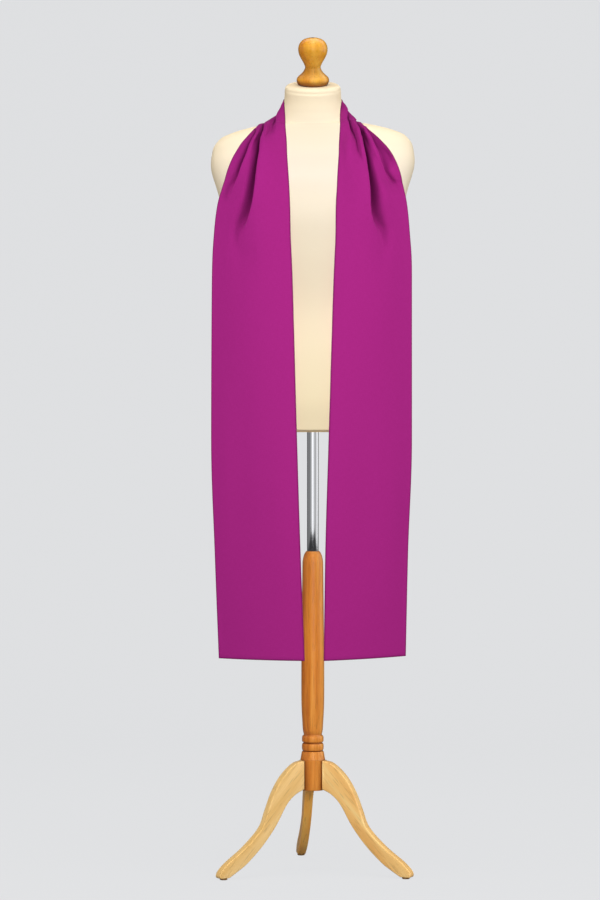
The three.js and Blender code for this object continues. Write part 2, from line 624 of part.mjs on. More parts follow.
addPiece('tippet_left', tippetGeometry(-1, LEFT_FOLDS), 'cloth');
addPiece('tippet_right', tippetGeometry(1, RIGHT_FOLDS), 'cloth');
addPiece('form_torso', formGeometry(), 'form');
const finial = addPiece('finial', turnedGeometry(FINIAL_PROFILE, FINIAL.sides), 'finial');
finial.position.copy(capMiddle);
finial.rotation.x = capLean;
addPiece('pole', turnedGeometry(POLE_PROFILE, COLUMN.sides), 'chrome');
addPiece('column', columnGeometry(), 'column');
for (const [name, turn] of Object.entries(LEG_TURNS)) {
  const leg = addPiece(name, legGeometry(), 'leg');
  leg.rotation.z = radians(turn);
  const glide = addPiece(name.replace('leg', 'glide'), glideGeometry(), 'glide');
  glide.position.set(GLIDE.out * Math.cos(radians(turn)), GLIDE.out * Math.sin(radians(turn)), 0);
}

const tippetOnForm = new THREE.Group();
standing.position.y = AXIS_Y;
tippetOnForm.add(standing);

export default tippetOnForm;
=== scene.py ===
"""A tippet, a long pleated scarf of doubled cloth, worn open on a dress form with a tripod stand.

Lengths in the tables are millimetres, measured from the pole's axis and the floor, and MM
turns them into Blender's metres.
"""

import math

import bpy
import numpy as np
from mathutils import Matrix, Vector


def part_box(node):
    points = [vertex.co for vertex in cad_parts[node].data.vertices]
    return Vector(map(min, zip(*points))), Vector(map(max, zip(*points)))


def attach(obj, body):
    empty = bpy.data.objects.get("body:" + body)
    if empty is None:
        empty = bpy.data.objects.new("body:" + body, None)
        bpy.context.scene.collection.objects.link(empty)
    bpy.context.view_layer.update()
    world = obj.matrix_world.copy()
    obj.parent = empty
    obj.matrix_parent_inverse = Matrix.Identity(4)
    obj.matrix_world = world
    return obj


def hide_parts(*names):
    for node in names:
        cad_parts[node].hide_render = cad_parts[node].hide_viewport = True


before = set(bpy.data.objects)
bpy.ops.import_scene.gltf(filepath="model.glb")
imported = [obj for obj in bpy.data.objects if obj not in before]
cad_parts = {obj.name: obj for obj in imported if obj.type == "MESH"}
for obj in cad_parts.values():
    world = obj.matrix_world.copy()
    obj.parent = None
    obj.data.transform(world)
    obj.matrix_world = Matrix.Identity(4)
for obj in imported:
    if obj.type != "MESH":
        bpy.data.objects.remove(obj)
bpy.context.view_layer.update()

MM = 0.001
POLE_LOW, POLE_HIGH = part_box("pole")
AXIS = Vector(((POLE_LOW.x + POLE_HIGH.x) / 2, (POLE_LOW.y + POLE_HIGH.y) / 2, 0))

# ---- sizes ----

# How the cloth is made up: its thickness and what the seam allowances add to it, half the gap
# at the centre-back seam, from one folded layer's middle to the next, the width in which a
# layer climbs onto a fold, how far the smooth surface and the cloth's own middle stay off the
# form, and how wide the crown of a tall fold is.
CLOTH = {
    "thick": 1, "margin": 0.5, "seam": 0.07, "layer": 1.05, "climb": 12, "clear": 1.3, "lie": 1.1,
    "crown": 5,
}
HEM = {"turn": 10, "edge": 8}  # where the seam allowances end, inside the cloth

FORM_SIDES = 160
FORM_BOTTOM = 882
TURNED_SIDES = 96
PAD_SIDES = 48
PLUG_SIDES = 32
LEG_THICK = 17.5
LEG_ROUND = 2.2
LEG_TURNS = {"right": -28, "left": -148, "back": 96.5}  # degrees from +X
LEG_FLAT, LEG_LEDGE = 24.2, 223.5  # the flats cut on the column and how high they reach
GLIDE_OUT = 207
NECK_LEAN, NECK_EDGE, NECK_TOP = 17, 9, 1572  # how its top leans, its round rim, its height
PATH_END = 15  # where on the tippet's path the hem lies


# ---- tables read smoothly ----


class Table:
    """Rows with named columns, read along their first column on curves that never overshoot."""

    def __init__(self, columns, rows):
        self.names = columns.split()[1:]
        rows = np.array(rows, float)
        self.keys, self.values = rows[:, 0], rows[:, 1:]
        slopes = np.diff(self.values, axis=0) / np.diff(self.keys)[:, None]
        before, after = slopes[:-1], slopes[1:]
        together = before * after > 0
        total = np.where(together, before + after, 1)
        inside = np.where(together, 2 * before * after / total, 0)
        self.tangents = np.vstack([slopes[:1], inside, slopes[-1:]])

    def __call__(self, at):
        at = np.clip(at, self.keys[0], self.keys[-1])
        i = np.clip(np.searchsorted(self.keys, at, side="right") - 1, 0, len(self.keys) - 2)
        span = (self.keys[i + 1] - self.keys[i])[..., None]
        u = (at - self.keys[i])[..., None] / span
        a, b = self.values[i], self.values[i + 1]
        ta, tb = self.tangents[i] * span, self.tangents[i + 1] * span
        found = a + u * (ta + u * (3 * (b - a) - 2 * ta - tb + u * (2 * (a - b) + ta + tb)))
        return {name: found[..., k] for k, name in enumerate(self.names)}


def smooth_step(x):
    t = np.clip(x, 0, 1)
    return t * t * (3 - 2 * t)


def mix(a, b, t):
    return a + (b - a) * t


def unit(vectors):
    length = np.linalg.norm(vectors, axis=-1, keepdims=True)
    return vectors / np.where(length > 0, length, 1)


# The form, a level section to a row: half its width, its front and its back, and how square
# the section is (2 is an ellipse). Up the neck the sections lean forward, and its right-hand
# shoulder stands a little higher, both in degrees.
FORM = Table("z half front back power lean roll", [
    (882, 164, -96, 98, 2.25, 0, 0),
    (940, 168, -101, 104, 2.25, 0, 0),
    (1010, 154, -99, 96, 2.2, 0, 0),
    (1120, 131, -91, 67, 2.15, 0, 0),
    (1240, 156, -105, 80, 2.25, 0, 0.3),
    (1310, 175, -112, 95, 2.3, 0, 0.7),
    (1360, 189.5, -110, 101, 2.25, 0, 1),
    (1417, 203.7, -98, 105, 2.1, 0, 1.1),
    (1447, 200, -84.5, 102, 2, 0, 1.1),
    (1469, 185, -74, 95, 1.95, 0, 1.1),
    (1480, 161, -69, 90, 1.9, 0, 1.1),
    (1489, 128, -65.8, 85, 1.9, 1, 1.1),
    (1494, 104, -64.8, 81, 1.95, 3, 1.1),
    (1497, 83, -64.1, 77, 1.95, 4.5, 1.1),
    (1506, 70, -61.7, 71, 2, 7, 1),
    (1524, 62, -57.9, 65, 2, 10, 0.7),
    (1546, 56.7, -56.2, 57, 2, 14, 0.3),
    (NECK_TOP, 55.5, -57, 49.2, 2, NECK_LEAN, 0),
])

# The tippet's path, the same on both sides. A row is one line across the strip, from its
# inner (neck) edge to its outer edge: their heights and depths.
PATH = Table("at in_z in_y out_z out_y", [
    (0, 1553, 60, 1480, 92), (1, 1550, 47, 1481, 83), (2, 1546, 21, 1485, 48),
    (3, 1540, -6, 1491, 3), (4, 1511, -36, 1481, -42), (5, 1478, -64, 1463, -52),
    (6, 1450, -81, 1446, -58), (7, 1422, -94, 1422, -62), (8, 1390, -105, 1390, -62),
    (9, 1356, -112, 1358, -60), (10, 1320, -116, 1324, -58), (11, 1268, -118, 1272, -56),
    (12, 1187, -118, 1191, -54), (13, 864, -116, 868, -51), (14, 640, -115, 644, -50),
    (15, 431, -114, 436, -50),
])

# On the same lines, how far both edges of each half (-1 the left one, 1 the right one) lie from
# the axis to its side, and how far the middle bows out from the straight line between them.
REACH = {
    -1: Table("at inner outer bow", [
        (0, 0, 0, 0), (1, 38, 56, -4), (2, 56, 90, -8), (3, 57.5, 101, -9), (4, 55.5, 115, -5),
        (5, 54, 129.5, 2), (6, 52, 141, 6), (7, 51, 152, 9), (8, 49, 164.5, 13),
        (9, 47, 176, 17), (10, 45.5, 186.5, 20), (11, 44.5, 194, 21), (12, 41, 199, 20),
        (13, 32, 201, 14), (14, 25, 194, 11), (15, 17, 186, 9),
    ]),
    1: Table("at inner outer bow", [
        (0, 0, 0, 0), (1, 38, 52, -4), (2, 55, 76, -3), (3, 57, 83, 1), (4, 54, 99, 2),
        (5, 53, 121, 3), (6, 51.5, 136, 6), (7, 50.5, 150, 9), (8, 48.5, 163, 13),
        (9, 47, 173.5, 17), (10, 45, 182.5, 20), (11, 44.5, 189.5, 21), (12, 41, 195, 20),
        (13, 31, 195.5, 14), (14, 24.5, 188, 11), (15, 21.5, 183.5, 9),
    ]),
}

HEM_SAG = {-1: 5, 1: 0.5}  # how much lower each outer corner hangs

# The three pleats of each half, from the neck outward. place: where the fold's edge lies, as
# a share of the width that shows; under: how far the cloth turns back beneath it; drop and
# roll: from the fold's edge down to the cloth it lies on, and how round the edge is; open: 0 a
# closed fold, 1 a soft valley of the given spread; dip and wide: how far the trough beside the
# fold sinks below the smooth surface and how wide it is; swell: how high the cloth puffs up
# beyond it.
FOLD_COLUMNS = "at place under drop roll open spread dip wide swell"
LEFT_FOLDS = [
    Table(FOLD_COLUMNS, [
        (0, 0.3, 12, 2.1, 0.5, 0, 6, 0, 6, 0), (2, 0.32, 12, 2.1, 0.5, 0, 6, 0, 6, 0.5),
        (3, 0.33, 8, 2.6, 0.6, 0, 6, 0.5, 7, 1), (3.7, 0.318, 6, 4.2, 1.1, 0, 6, 1, 7, 2),
        (4.2, 0.29, 4, 4, 1.1, 0.3, 8, 1, 8, 2), (4.8, 0.268, 2, 2.8, 1, 0.8, 10, 0.8, 9, 1),
        (5.6, 0.255, 0.5, 1.2, 0.6, 1, 12, 0.4, 10, 0.4), (6.4, 0.25, 0, 0, 0, 1, 12, 0, 10, 0),
        (15, 0.3, 0, 0, 0, 1, 12, 0, 14, 0),
    ]),
    Table(FOLD_COLUMNS, [
        (0, 0.55, 15, 2.1, 0.5, 0, 6, 0, 6, 0), (2, 0.66, 15, 2.1, 0.5, 0, 6, 0, 6, 0),
        (3, 0.84, 12, 2.1, 0.5, 0, 6, 0, 6, 0), (4, 0.69, 9, 4, 1, 0, 6, 0, 5, 2),
        (4.8, 0.564, 7, 8, 1.6, 0, 6, 0.5, 6, 3.5), (5.3, 0.541, 7, 11, 1.9, 0, 6, 0.8, 7, 5),
        (5.8, 0.54, 7, 13, 2, 0, 6, 1, 8, 6), (6.4, 0.517, 7, 14.5, 2.1, 0, 6, 1.5, 10, 7),
        (7, 0.488, 6, 15.5, 2.2, 0, 6, 2, 12, 8), (7.6, 0.474, 5, 16, 2.3, 0, 6, 2.6, 15, 8.5),
        (8.2, 0.46, 4, 16, 2.4, 0, 6, 4, 18, 9), (9, 0.454, 3.5, 14.5, 3, 0, 6, 6.5, 22, 8),
        (9.7, 0.46, 2.5, 12, 4, 0, 6, 8.5, 26, 6), (10.2, 0.483, 1.5, 9.5, 4, 0.2, 8, 8.5, 30, 4),
        (10.6, 0.513, 0.5, 7, 2.5, 0.7, 12, 6.5, 32, 2.5), (10.9, 0.55, 0, 4.5, 1.5, 1, 16, 4.5, 32, 1.2),
        (11.4, 0.575, 0, 2, 1, 1, 20, 2, 30, 0.4), (12, 0.59, 0, 0, 0, 1, 20, 0, 28, 0),
        (15, 0.6, 0, 0, 0, 1, 20, 0, 28, 0),
    ]),
    Table(FOLD_COLUMNS, [
        (0, 0.8, 12, 2.1, 0.5, 0, 6, 0, 6, 0), (2, 0.92, 12, 2.1, 0.5, 0, 6, 0, 6, 0),
        (3, 1, 8, 1.6, 0.5, 0, 6, 0, 6, 0), (4, 0.96, 6, 2.1, 0.5, 0, 6, 0, 5, 0),
        (4.8, 0.775, 6, 5.5, 1.4, 0, 8, 0, 6, 2), (5.5, 0.738, 6, 9.5, 1.8, 0, 8, 0.5, 8, 4),
        (6.2, 0.74, 6, 11.5, 2, 0, 8, 1, 10, 5.5), (7, 0.738, 5, 12.5, 2.2, 0, 10, 2, 12, 6.5),
        (7.6, 0.751, 4, 12, 2.4, 0.1, 12, 2.5, 14, 6.5), (8.2, 0.767, 2.5, 9.5, 2.6, 0.3, 12, 3, 15, 5.5),
        (8.8, 0.795, 1, 6, 2, 0.8, 14, 2, 16, 5), (9.4, 0.81, 0, 2.5, 1, 1, 16, 0.8, 16, 4.5),
        (10, 0.82, 0, 0, 0, 1, 16, 0, 16, 0), (15, 0.83, 0, 0, 0, 1, 16, 0, 18, 0),
    ]),
]
RIGHT_FOLDS = [
    Table(FOLD_COLUMNS, [
        (0, 0.3, 12, 2.1, 0.5, 0, 6, 0, 6, 0), (2, 0.33, 12, 2.1, 0.5, 0, 6, 0, 6, 0.5),
        (2.8, 0.36, 8, 2.4, 0.7, 0, 6, 0, 6, 1), (3.4, 0.33, 6, 3.4, 1, 0, 6, 0.4, 5, 1.5),
        (4.4, 0.265, 4, 4.2, 1.2, 0.1, 6, 1, 5, 1.5), (5, 0.27, 3, 4.4, 1.3, 0.4, 8, 1, 6, 1.5),
        (5.5, 0.28, 1.5, 4, 1.3, 0.8, 10, 0.6, 8, 1.2), (6.1, 0.275, 0, 3.2, 1.2, 1, 12, 0.4, 10, 0.8),
        (6.9, 0.25, 0, 2, 1, 1, 14, 0.2, 12, 0.4), (8, 0.24, 0, 0, 0, 1, 16, 0, 12, 0),
        (15, 0.28, 0, 0, 0, 1, 14, 0, 14, 0),
    ]),
    Table(FOLD_COLUMNS, [
        (0, 0.55, 15, 2.1, 0.5, 0, 6, 0, 6, 0), (2, 0.74, 14, 2, 0.5, 0, 6, 0, 6, 0),
        (2.6, 0.86, 9, 2.2, 0.6, 0, 6, 0, 6, 0), (3, 0.92, 8, 3.6, 1, 0, 6, 0, 6, 0),
        (3.6, 0.8, 7, 3.8, 1, 0, 6, 0, 5, 0), (4, 0.66, 6, 4, 1, 0, 6, 0, 5, 1),
        (4.5, 0.54, 6, 7, 1.5, 0, 6, 0.5, 6, 3), (5.2, 0.52, 6, 12, 1.9, 0, 6, 0.8, 7, 5),
        (6, 0.488, 6, 15, 2, 0, 6, 1.2, 8, 7), (6.6, 0.465, 6, 16.5, 2, 0, 6, 1.6, 10, 8),
        (7.1, 0.456, 5, 17, 2, 0, 6, 2, 12, 9), (7.7, 0.443, 5, 17.5, 2.1, 0, 6, 3, 14, 9.5),
        (8.2, 0.436, 4.5, 17.5, 2.2, 0, 6, 4.2, 18, 9.5), (9.2, 0.431, 3.5, 15.5, 3, 0, 6, 7.5, 24, 8),
        (9.8, 0.429, 2.5, 13, 4, 0, 6, 9.5, 27, 6.5), (10.2, 0.433, 1.5, 10.5, 4.2, 0.2, 8, 9.5, 30, 4.5),
        (10.6, 0.449, 0.5, 8, 3, 0.7, 12, 7.5, 32, 2.8), (10.9, 0.488, 0, 5, 1.7, 1, 16, 5, 32, 1.4),
        (11.4, 0.53, 0, 2, 1, 1, 20, 2, 30, 0.4), (12, 0.56, 0, 0, 0, 1, 20, 0, 28, 0),
        (15, 0.58, 0, 0, 0, 1, 20, 0, 28, 0),
    ]),
    Table(FOLD_COLUMNS, [
        (0, 0.8, 12, 2.1, 0.5, 0, 6, 0, 6, 0), (2, 0.95, 12, 2.1, 0.5, 0, 6, 0, 6, 0),
        (2.6, 1, 6, 0.8, 0.3, 0, 6, 0, 6, 0), (4, 1, 5, 0.8, 0.3, 0, 6, 0, 5, 0),
        (4.3, 0.97, 5, 2.4, 0.6, 0, 6, 0, 6, 0), (4.6, 0.86, 6, 4.5, 1.2, 0, 8, 0, 8, 0.5),
        (5.1, 0.75, 6, 9.5, 1.8, 0, 8, 3, 10, 0.5), (5.7, 0.742, 6, 13.5, 2, 0, 8, 5.5, 11, 1.5),
        (6.3, 0.718, 6, 15.5, 2.2, 0, 10, 5.5, 14, 2), (7, 0.728, 5, 14.5, 2.5, 0, 12, 3.2, 22, 2.5),
        (7.5, 0.74, 3.5, 11.5, 2.8, 0, 12, 2, 22, 4.5), (8, 0.765, 2, 6.5, 2.6, 0.3, 12, 1, 16, 6.5),
        (8.3, 0.785, 1, 4, 2.2, 0.6, 12, 0.7, 13, 7), (8.6, 0.795, 0.3, 2, 1.4, 0.9, 14, 0.4, 12, 7),
        (9, 0.8, 0, 0.7, 0.5, 1, 16, 0.1, 12, 7), (9.5, 0.8, 0, 0, 0, 1, 16, 0, 14, 7),
        (15, 0.86, 0, 0, 0, 1, 20, 0, 14, 0),
    ]),
]
FOLDS = {-1: LEFT_FOLDS, 1: RIGHT_FOLDS}

# How far the outer edge stands forward of the smooth surface.
LIFT = {
    -1: Table("at lift", [(0, 0), (4.5, 0), (6, 4), (7, 6), (8, 6), (9, 5), (11, 1.5), (12.5, 0), (15, 0)]),
    1: Table("at lift", [(0, 0), (4.5, 0), (5.5, 3), (7, 9), (8, 10), (9, 7.5), (11, 2), (12.5, 0), (15, 0)]),
}

# Soft troughs and ridges of the open cloth: from one place to another on the
# strip (at, share across), how wide and how deep. A negative depth is a ridge.
CREASES = {
    -1: [
        (9.5, 0.5, 12.6, 0.62, 26, 2.2), (10.2, 0.3, 12.3, 0.36, 30, -1.4),
        (8.6, 0.84, 11.6, 0.86, 18, 1.2), (12.2, 0.6, 14.6, 0.66, 46, 1.8),
        (12.6, 0.16, 14.8, 0.2, 34, -1.2), (5.2, 0.2, 7.4, 0.24, 16, 0.9),
    ],
    1: [
        (9.6, 0.52, 12.4, 0.58, 24, 2.0), (8.2, 0.62, 10.6, 0.72, 20, -2.4),
        (5.6, 0.24, 8.6, 0.27, 15, 1.0), (9.8, 0.2, 12.8, 0.24, 30, -1.2),
        (12.3, 0.42, 14.7, 0.4, 44, 1.6), (12.8, 0.8, 14.8, 0.78, 34, -1.2),
    ],
}


# ---- meshes ----


def add_object(name, data):
    """A new object in the scene."""
    thing = bpy.data.objects.new(name, data)
    bpy.context.scene.collection.objects.link(thing)
    return thing


def add_mesh(name, points, faces, material):
    """A smoothly shaded mesh in the scene, from points in metres."""
    mesh = bpy.data.meshes.new(name)
    mesh.from_pydata(points, [], faces)
    mesh.validate()
    mesh.polygons.foreach_set("use_smooth", [True] * len(mesh.polygons))
    mesh.materials.append(material)
    return add_object(name, mesh)


def mesh_object(name, points, faces, material, body):
    """A piece of the object, from points in millimetres about the pole's axis."""
    world = points * MM + np.array(AXIS)
    piece = add_mesh(name, world.tolist(), faces, material)
    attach(piece, body)
    return piece


def ring_faces(rings, sides, close_ends=True):
    """Quads between rings of points, and one flat face over each end."""
    low = np.arange(rings - 1)[:, None] * sides
    i = np.arange(sides)[None, :]
    j = (i + 1) % sides
    faces = np.stack([low + i, low + j, low + sides + j, low + sides + i], -1).reshape(-1, 4).tolist()
    if close_ends:
        faces.append(list(range(sides))[::-1])
        faces.append(list(range((rings - 1) * sides, rings * sides)))
    return faces


def ring_object(name, rings, material, body, close_ends=True):
    """A piece of the object made of rings, each of the same number of points."""
    rings = np.array(rings, float)
    faces = ring_faces(*rings.shape[:2], close_ends)
    return mesh_object(name, rings.reshape(-1, 3), faces, material, body)


def spline(points, steps):
    """A smooth line through its points, by Catmull-Rom pieces."""
    points = np.array(points, float)
    ends = np.vstack([2 * points[0] - points[1], points, 2 * points[-1] - points[-2]])
    t = np.linspace(0, 1, steps, endpoint=False)[:, None]
    line = []
    for a, b, c, d in zip(ends, ends[1:], ends[2:], ends[3:]):
        line.append(b + 0.5 * t * (c - a + t * (2 * a - 5 * b + 4 * c - d + t * (3 * (b - c) + d - a))))
    return np.vstack(line + [points[-1:]])


def turned(profile, sides=TURNED_SIDES):
    """Points of a piece turned about +Z, from pairs of radius and height."""
    profile = np.asarray(profile, float)
    turn = np.linspace(0, 2 * math.pi, sides, endpoint=False)
    x = profile[:, :1] * np.cos(turn)
    y = profile[:, :1] * np.sin(turn)
    return np.stack([x, y, np.repeat(profile[:, 1:], sides, 1)], -1)


# ---- the dress form ----


def section_points(section, turns):
    """The outline of a section of the form at the given turns round its middle."""
    middle = (section["front"] + section["back"]) / 2
    deep = (section["back"] - section["front"]) / 2
    power = 2 / section["power"]
    across = section["half"] * np.sign(np.cos(turns)) * np.abs(np.cos(turns)) ** power
    back = deep * np.sign(np.sin(turns)) * np.abs(np.sin(turns)) ** power
    rise = back * np.tan(np.radians(section["lean"])) + across * np.tan(np.radians(section["roll"]))
    return across, middle + back, rise


def form_value(points):
    """Less than 0 inside the form and more outside it."""
    x, y, z = points[..., 0], points[..., 1], points[..., 2]
    level = z
    for _ in range(3):
        section = FORM(level)
        middle = (section["front"] + section["back"]) / 2
        lean = (y - middle) * np.tan(np.radians(section["lean"]))
        level = z - lean - x * np.tan(np.radians(section["roll"]))
    deep = (section["back"] - section["front"]) / 2
    power = section["power"]
    total = np.abs(x / section["half"]) ** power + np.abs((y - middle) / deep) ** power
    return total ** (1 / power) - 1


def clear_of_form(points, clear):
    """The points, moved where they must to the nearest place that is clear of the form."""
    moved = points.copy()
    for _ in range(7):
        value = form_value(moved)
        rise = np.stack(
            [(form_value(moved + step) - form_value(moved - step)) / 2 for step in np.eye(3)], -1
        )
        distance = value / np.linalg.norm(rise, axis=-1)
        push = np.maximum(clear - distance, 0)
        moved += unit(rise) * push[..., None] * 0.6
    return moved


NECK_CAP = FORM(np.array(NECK_TOP))
CAP_MIDDLE = np.array([0, (NECK_CAP["front"] + NECK_CAP["back"]) / 2, NECK_TOP])
CAP_TURN = np.array(Matrix.Rotation(math.radians(NECK_LEAN), 3, "X"))


def on_cap(points):
    """Points about the middle of the neck's leaning top, put in place."""
    return np.asarray(points, float) @ CAP_TURN.T + CAP_MIDDLE


def level_ring(z, margin=0.0, lift=0.0):
    """The form's outline at a height, drawn in by a margin and then lifted."""
    section = FORM(np.array(float(z)))
    turns = np.linspace(0, 2 * math.pi, FORM_SIDES, endpoint=False)
    across, back, rise = section_points(section, turns)
    size = 1 - margin / np.hypot(across, back)
    return np.stack([across * size, back * size, z + lift + rise], -1)


def build_form(cover, lining):
    """The padded torso: its cover, and the stiff base the cover is turned in over."""
    corner = 3.2  # how round the bottom edge is
    rings = [level_ring(FORM_BOTTOM, 22, 1.6), level_ring(FORM_BOTTOM, 14, 1.0)]
    for turn in (0, 20, 40, 60, 80, 90):
        bend = math.radians(turn)
        rings.append(level_ring(FORM_BOTTOM + corner * (1 - math.cos(bend)), corner * (1 - math.sin(bend))))
    levels = np.concatenate([
        np.linspace(888, 1400, 74), np.linspace(1404, 1478, 22), np.linspace(1480, 1512, 22),
        np.linspace(1515, 1560, 18),
    ])
    rings += [level_ring(z) for z in levels]
    for turn in np.linspace(0, 90, 10):
        out = NECK_CAP["half"] - NECK_EDGE * (1 - math.cos(math.radians(turn)))
        height = NECK_EDGE * (math.sin(math.radians(turn)) - 1)
        rings.append(on_cap(turned([(out, height)], FORM_SIDES)[0]))
    for radius, height in ((38, 0.1), (30, 0.15), (16, 0.1), (6.2, 0), (5.4, -1.5)):
        rings.append(on_cap(turned([(radius, height)], FORM_SIDES)[0]))
    form = ring_object("form_cover", rings, cover, "form", close_ends=False)
    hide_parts("form_torso")

    # The base ends in the hole for the pole.
    rings = [level_ring(FORM_BOTTOM, margin, lift) for margin, lift in ((21, -3), (21, 0.9), (24, 1.2))]
    hole = [(60, 1.2), (16, 1.2), (12.4, 0.6), (12.2, 8)]
    rings += list(turned([(radius, FORM_BOTTOM + lift) for radius, lift in hole], FORM_SIDES))
    base = ring_object("form_base", rings, lining, "form", close_ends=False)
    return form, base


# ---- the tippet ----


def edge_points(side, at):
    """Both edges of a half at the given lines, and how far the cloth bows out between them."""
    row, reach = PATH(at), REACH[side](at)
    sag = HEM_SAG[side] * smooth_step((at - 12) / 3)
    inner = np.stack([side * (reach["inner"] + CLOTH["seam"]), row["in_y"], row["in_z"]], -1)
    outer = np.stack([side * (reach["outer"] + CLOTH["seam"]), row["out_y"], row["out_z"] - sag], -1)
    return inner, outer, reach["bow"]


def base_point(side, at, share):
    """Places on the smooth surface under the pleats: share runs from the inner edge to the outer."""
    inner, outer, bow = edge_points(side, at)
    in_before, out_before, _ = edge_points(side, np.maximum(at - 0.2, 0))
    in_after, out_after, _ = edge_points(side, np.minimum(at + 0.2, PATH_END))
    along = in_after + out_after - in_before - out_before
    across = outer - inner
    outward = unit(np.cross(along, across) * side)
    points = inner + across * share[..., None] + outward * (bow * 4 * share * (1 - share))[..., None]
    return clear_of_form(points, CLOTH["clear"])


def surface(side, at, share):
    """That surface's places and its outward directions."""
    step, reach = 0.02, 0.1
    across = base_point(side, at, share + step) - base_point(side, at, share - step)
    before = base_point(side, np.maximum(at - reach, 0), share)
    along = base_point(side, np.minimum(at + reach, PATH_END), share) - before
    return base_point(side, at, share), unit(np.cross(along, across) * side)


CLIMB = (0, 0.3, 0.6, 0.85, 1)  # where the climb to a fold's edge has its points
# Down in the trough beside a fold and up again: shares of its width and of its rise.
TROUGH = ((0, 0), (0.28, 0.15), (0.6, 0.78), (1, 1))


def widths_at(side, at, steps=24):
    """How wide the smooth surface is, measured along it."""
    share = np.linspace(0, 1, steps + 1)
    points = base_point(side, np.repeat(at[:, None], steps + 1, 1), np.repeat(share[None], len(at), 0))
    return np.linalg.norm(np.diff(points, axis=1), axis=-1).sum(1)


def ease(x, start, end):
    """A climb from 0 at the start to 1 at the end, gentler at both."""
    t = np.clip((x - start) / (end - start), 0, 1)
    return mix(t, smooth_step(t), 0.6)


def fold_states(folds, at, width):
    """The pleats on one line, with their places in millimetres and how high they lie."""
    states = []
    for rows in folds:
        states.append({name: float(value) for name, value in rows(np.array(at)).items()})
    level = 0.0  # how high the next fold outward stands
    for i in reversed(range(len(states))):
        fold = states[i]
        fold["edge"] = fold["place"] * width
        fold["turn"] = fold["edge"] - fold["under"]
        fold["there"] = min(fold["drop"] / (2 * CLOTH["layer"]), 1)
        stands = float(smooth_step((fold["drop"] - 2 * CLOTH["layer"]) / 4))
        covered = mix(fold["under"], min(fold["under"], CLOTH["crown"]), stands)
        fold["start"] = fold["edge"] - mix(covered, 0.3 * fold["spread"], fold["open"]) - 1.5
        fold["foot"] = 0.0
        if i + 1 < len(states):
            after = states[i + 1]
            closed = level * float(smooth_step(1 - (after["turn"] - fold["edge"]) / CLOTH["climb"]))
            valley = level * float(ease(fold["edge"], 0, after["start"])) - fold["drop"]
            fold["foot"] = mix(closed, max(valley, 0), fold["open"])
        fold["top"] = level = fold["foot"] + fold["drop"]
    return states


def turned_under(fold):
    """A pleat's own fold, from its top round its edge and back to where the cloth lies."""
    edge, top, foot = fold["edge"], fold["top"], fold["foot"]
    radius = fold["roll"]
    closed = np.array([
        (edge - radius, top), (edge, top - radius), (edge - radius, top - 2 * radius),
        (fold["turn"], foot + min(fold["drop"] / 2, CLOTH["layer"])), (fold["turn"], foot),
    ])
    share = np.linspace(0, 1, len(closed))
    valley = np.stack(
        [edge + fold["spread"] * (share - 0.3), foot + fold["drop"] * (1 - smooth_step(share))], -1
    )
    line = mix(closed, valley, fold["open"])
    line[:, 1] -= fold["dip"] * smooth_step(share * 1.25 - 0.25)
    return line


def pleat_line(folds, at, width, lift):
    """One line across the cloth as distances across and heights, with its three pleats."""
    states = fold_states(folds, at, width)
    line = [(0, 0)]
    used, base, height = 0.0, 0.0, 0.0
    for i, fold in enumerate(states):
        after = states[i + 1] if i + 1 < len(states) else None
        start = min(max(used + 2, mix(used, fold["start"], 0.1)), fold["start"] - 1)
        climb = mix(start, fold["start"], np.array(CLIMB))
        own = [(x, mix(height, fold["top"], ease(x, base, fold["start"]))) for x in climb]
        bend = turned_under(fold)
        own += bend.tolist()
        out = max(fold["edge"], bend[-1, 0]) + 0.5
        room = (min(after["start"], after["turn"]) if after else width) - 3 - out
        wide = min(fold["wide"], max(room, 1))
        low, rise = fold["foot"] - fold["dip"], fold["dip"] + fold["swell"]
        own += [(out + along * wide, low + up * rise) for along, up in TROUGH]
        # Where a pleat has opened out, its points lie on the climb to the next one.
        end, top = (after["start"], after["top"]) if after else (width, lift)
        for x, y in own:
            flat = mix(height, top, ease(x, base, end))
            line.append((x, mix(flat, y, fold["there"])))
        used = own[-1][0]
        base = mix(base, used, fold["there"])
        height = mix(height, own[-1][1], fold["there"])
    for along in (0.35, 0.7, 1):
        x = mix(used, width, along)
        line.append((x, mix(height, lift, ease(x, base, width))))
    return np.array(line)


def softened(line, steps):
    """The line rounded as a uniform cubic B-spline that keeps its ends."""
    points = np.vstack([2 * line[0] - line[1], line, 2 * line[-1] - line[-2]])
    t = np.linspace(0, 1, steps, endpoint=False)[:, None]
    weights = [
        (1 - t) ** 3 / 6, (3 * t**3 - 6 * t**2 + 4) / 6, (-3 * t**3 + 3 * t**2 + 3 * t + 1) / 6,
        t**3 / 6,
    ]
    pieces = []
    for i in range(len(line) - 1):
        pieces.append(sum(weight * points[i + k] for k, weight in enumerate(weights)))
    return np.vstack(pieces + [line[-1:]])


def crease_height(side, at, share, width):
    """How far the soft creases of the hanging cloth raise or sink a place."""
    height = np.zeros_like(share)
    for at_0, share_0, at_1, share_1, wide, deep in CREASES[side]:
        t = (at - at_0) / (at_1 - at_0)
        middle = mix(share_0, share_1, smooth_step(t))
        across = (share - middle) * width
        fade = smooth_step(np.minimum(t, 1 - t) * 2.4)
        height -= deep * fade * np.exp(-((across / wide) ** 2) * 2)
    return height


# The lines across the cloth that have points, closer where it turns or creases: each span of
# the path with how many lines it has.
STATION_SPANS = [(0, 5, 90), (5, 11, 84), (11, 12, 10), (12, 13, 32), (13, 14, 22), (14, PATH_END, 24)]
STATIONS = np.concatenate(
    [np.linspace(first, last, count, endpoint=False) for first, last, count in STATION_SPANS]
    + [[PATH_END]]
)
LINE_STEPS = 4
RIM = np.radians([45, 90, 135])  # where a long edge has points, from the top face round


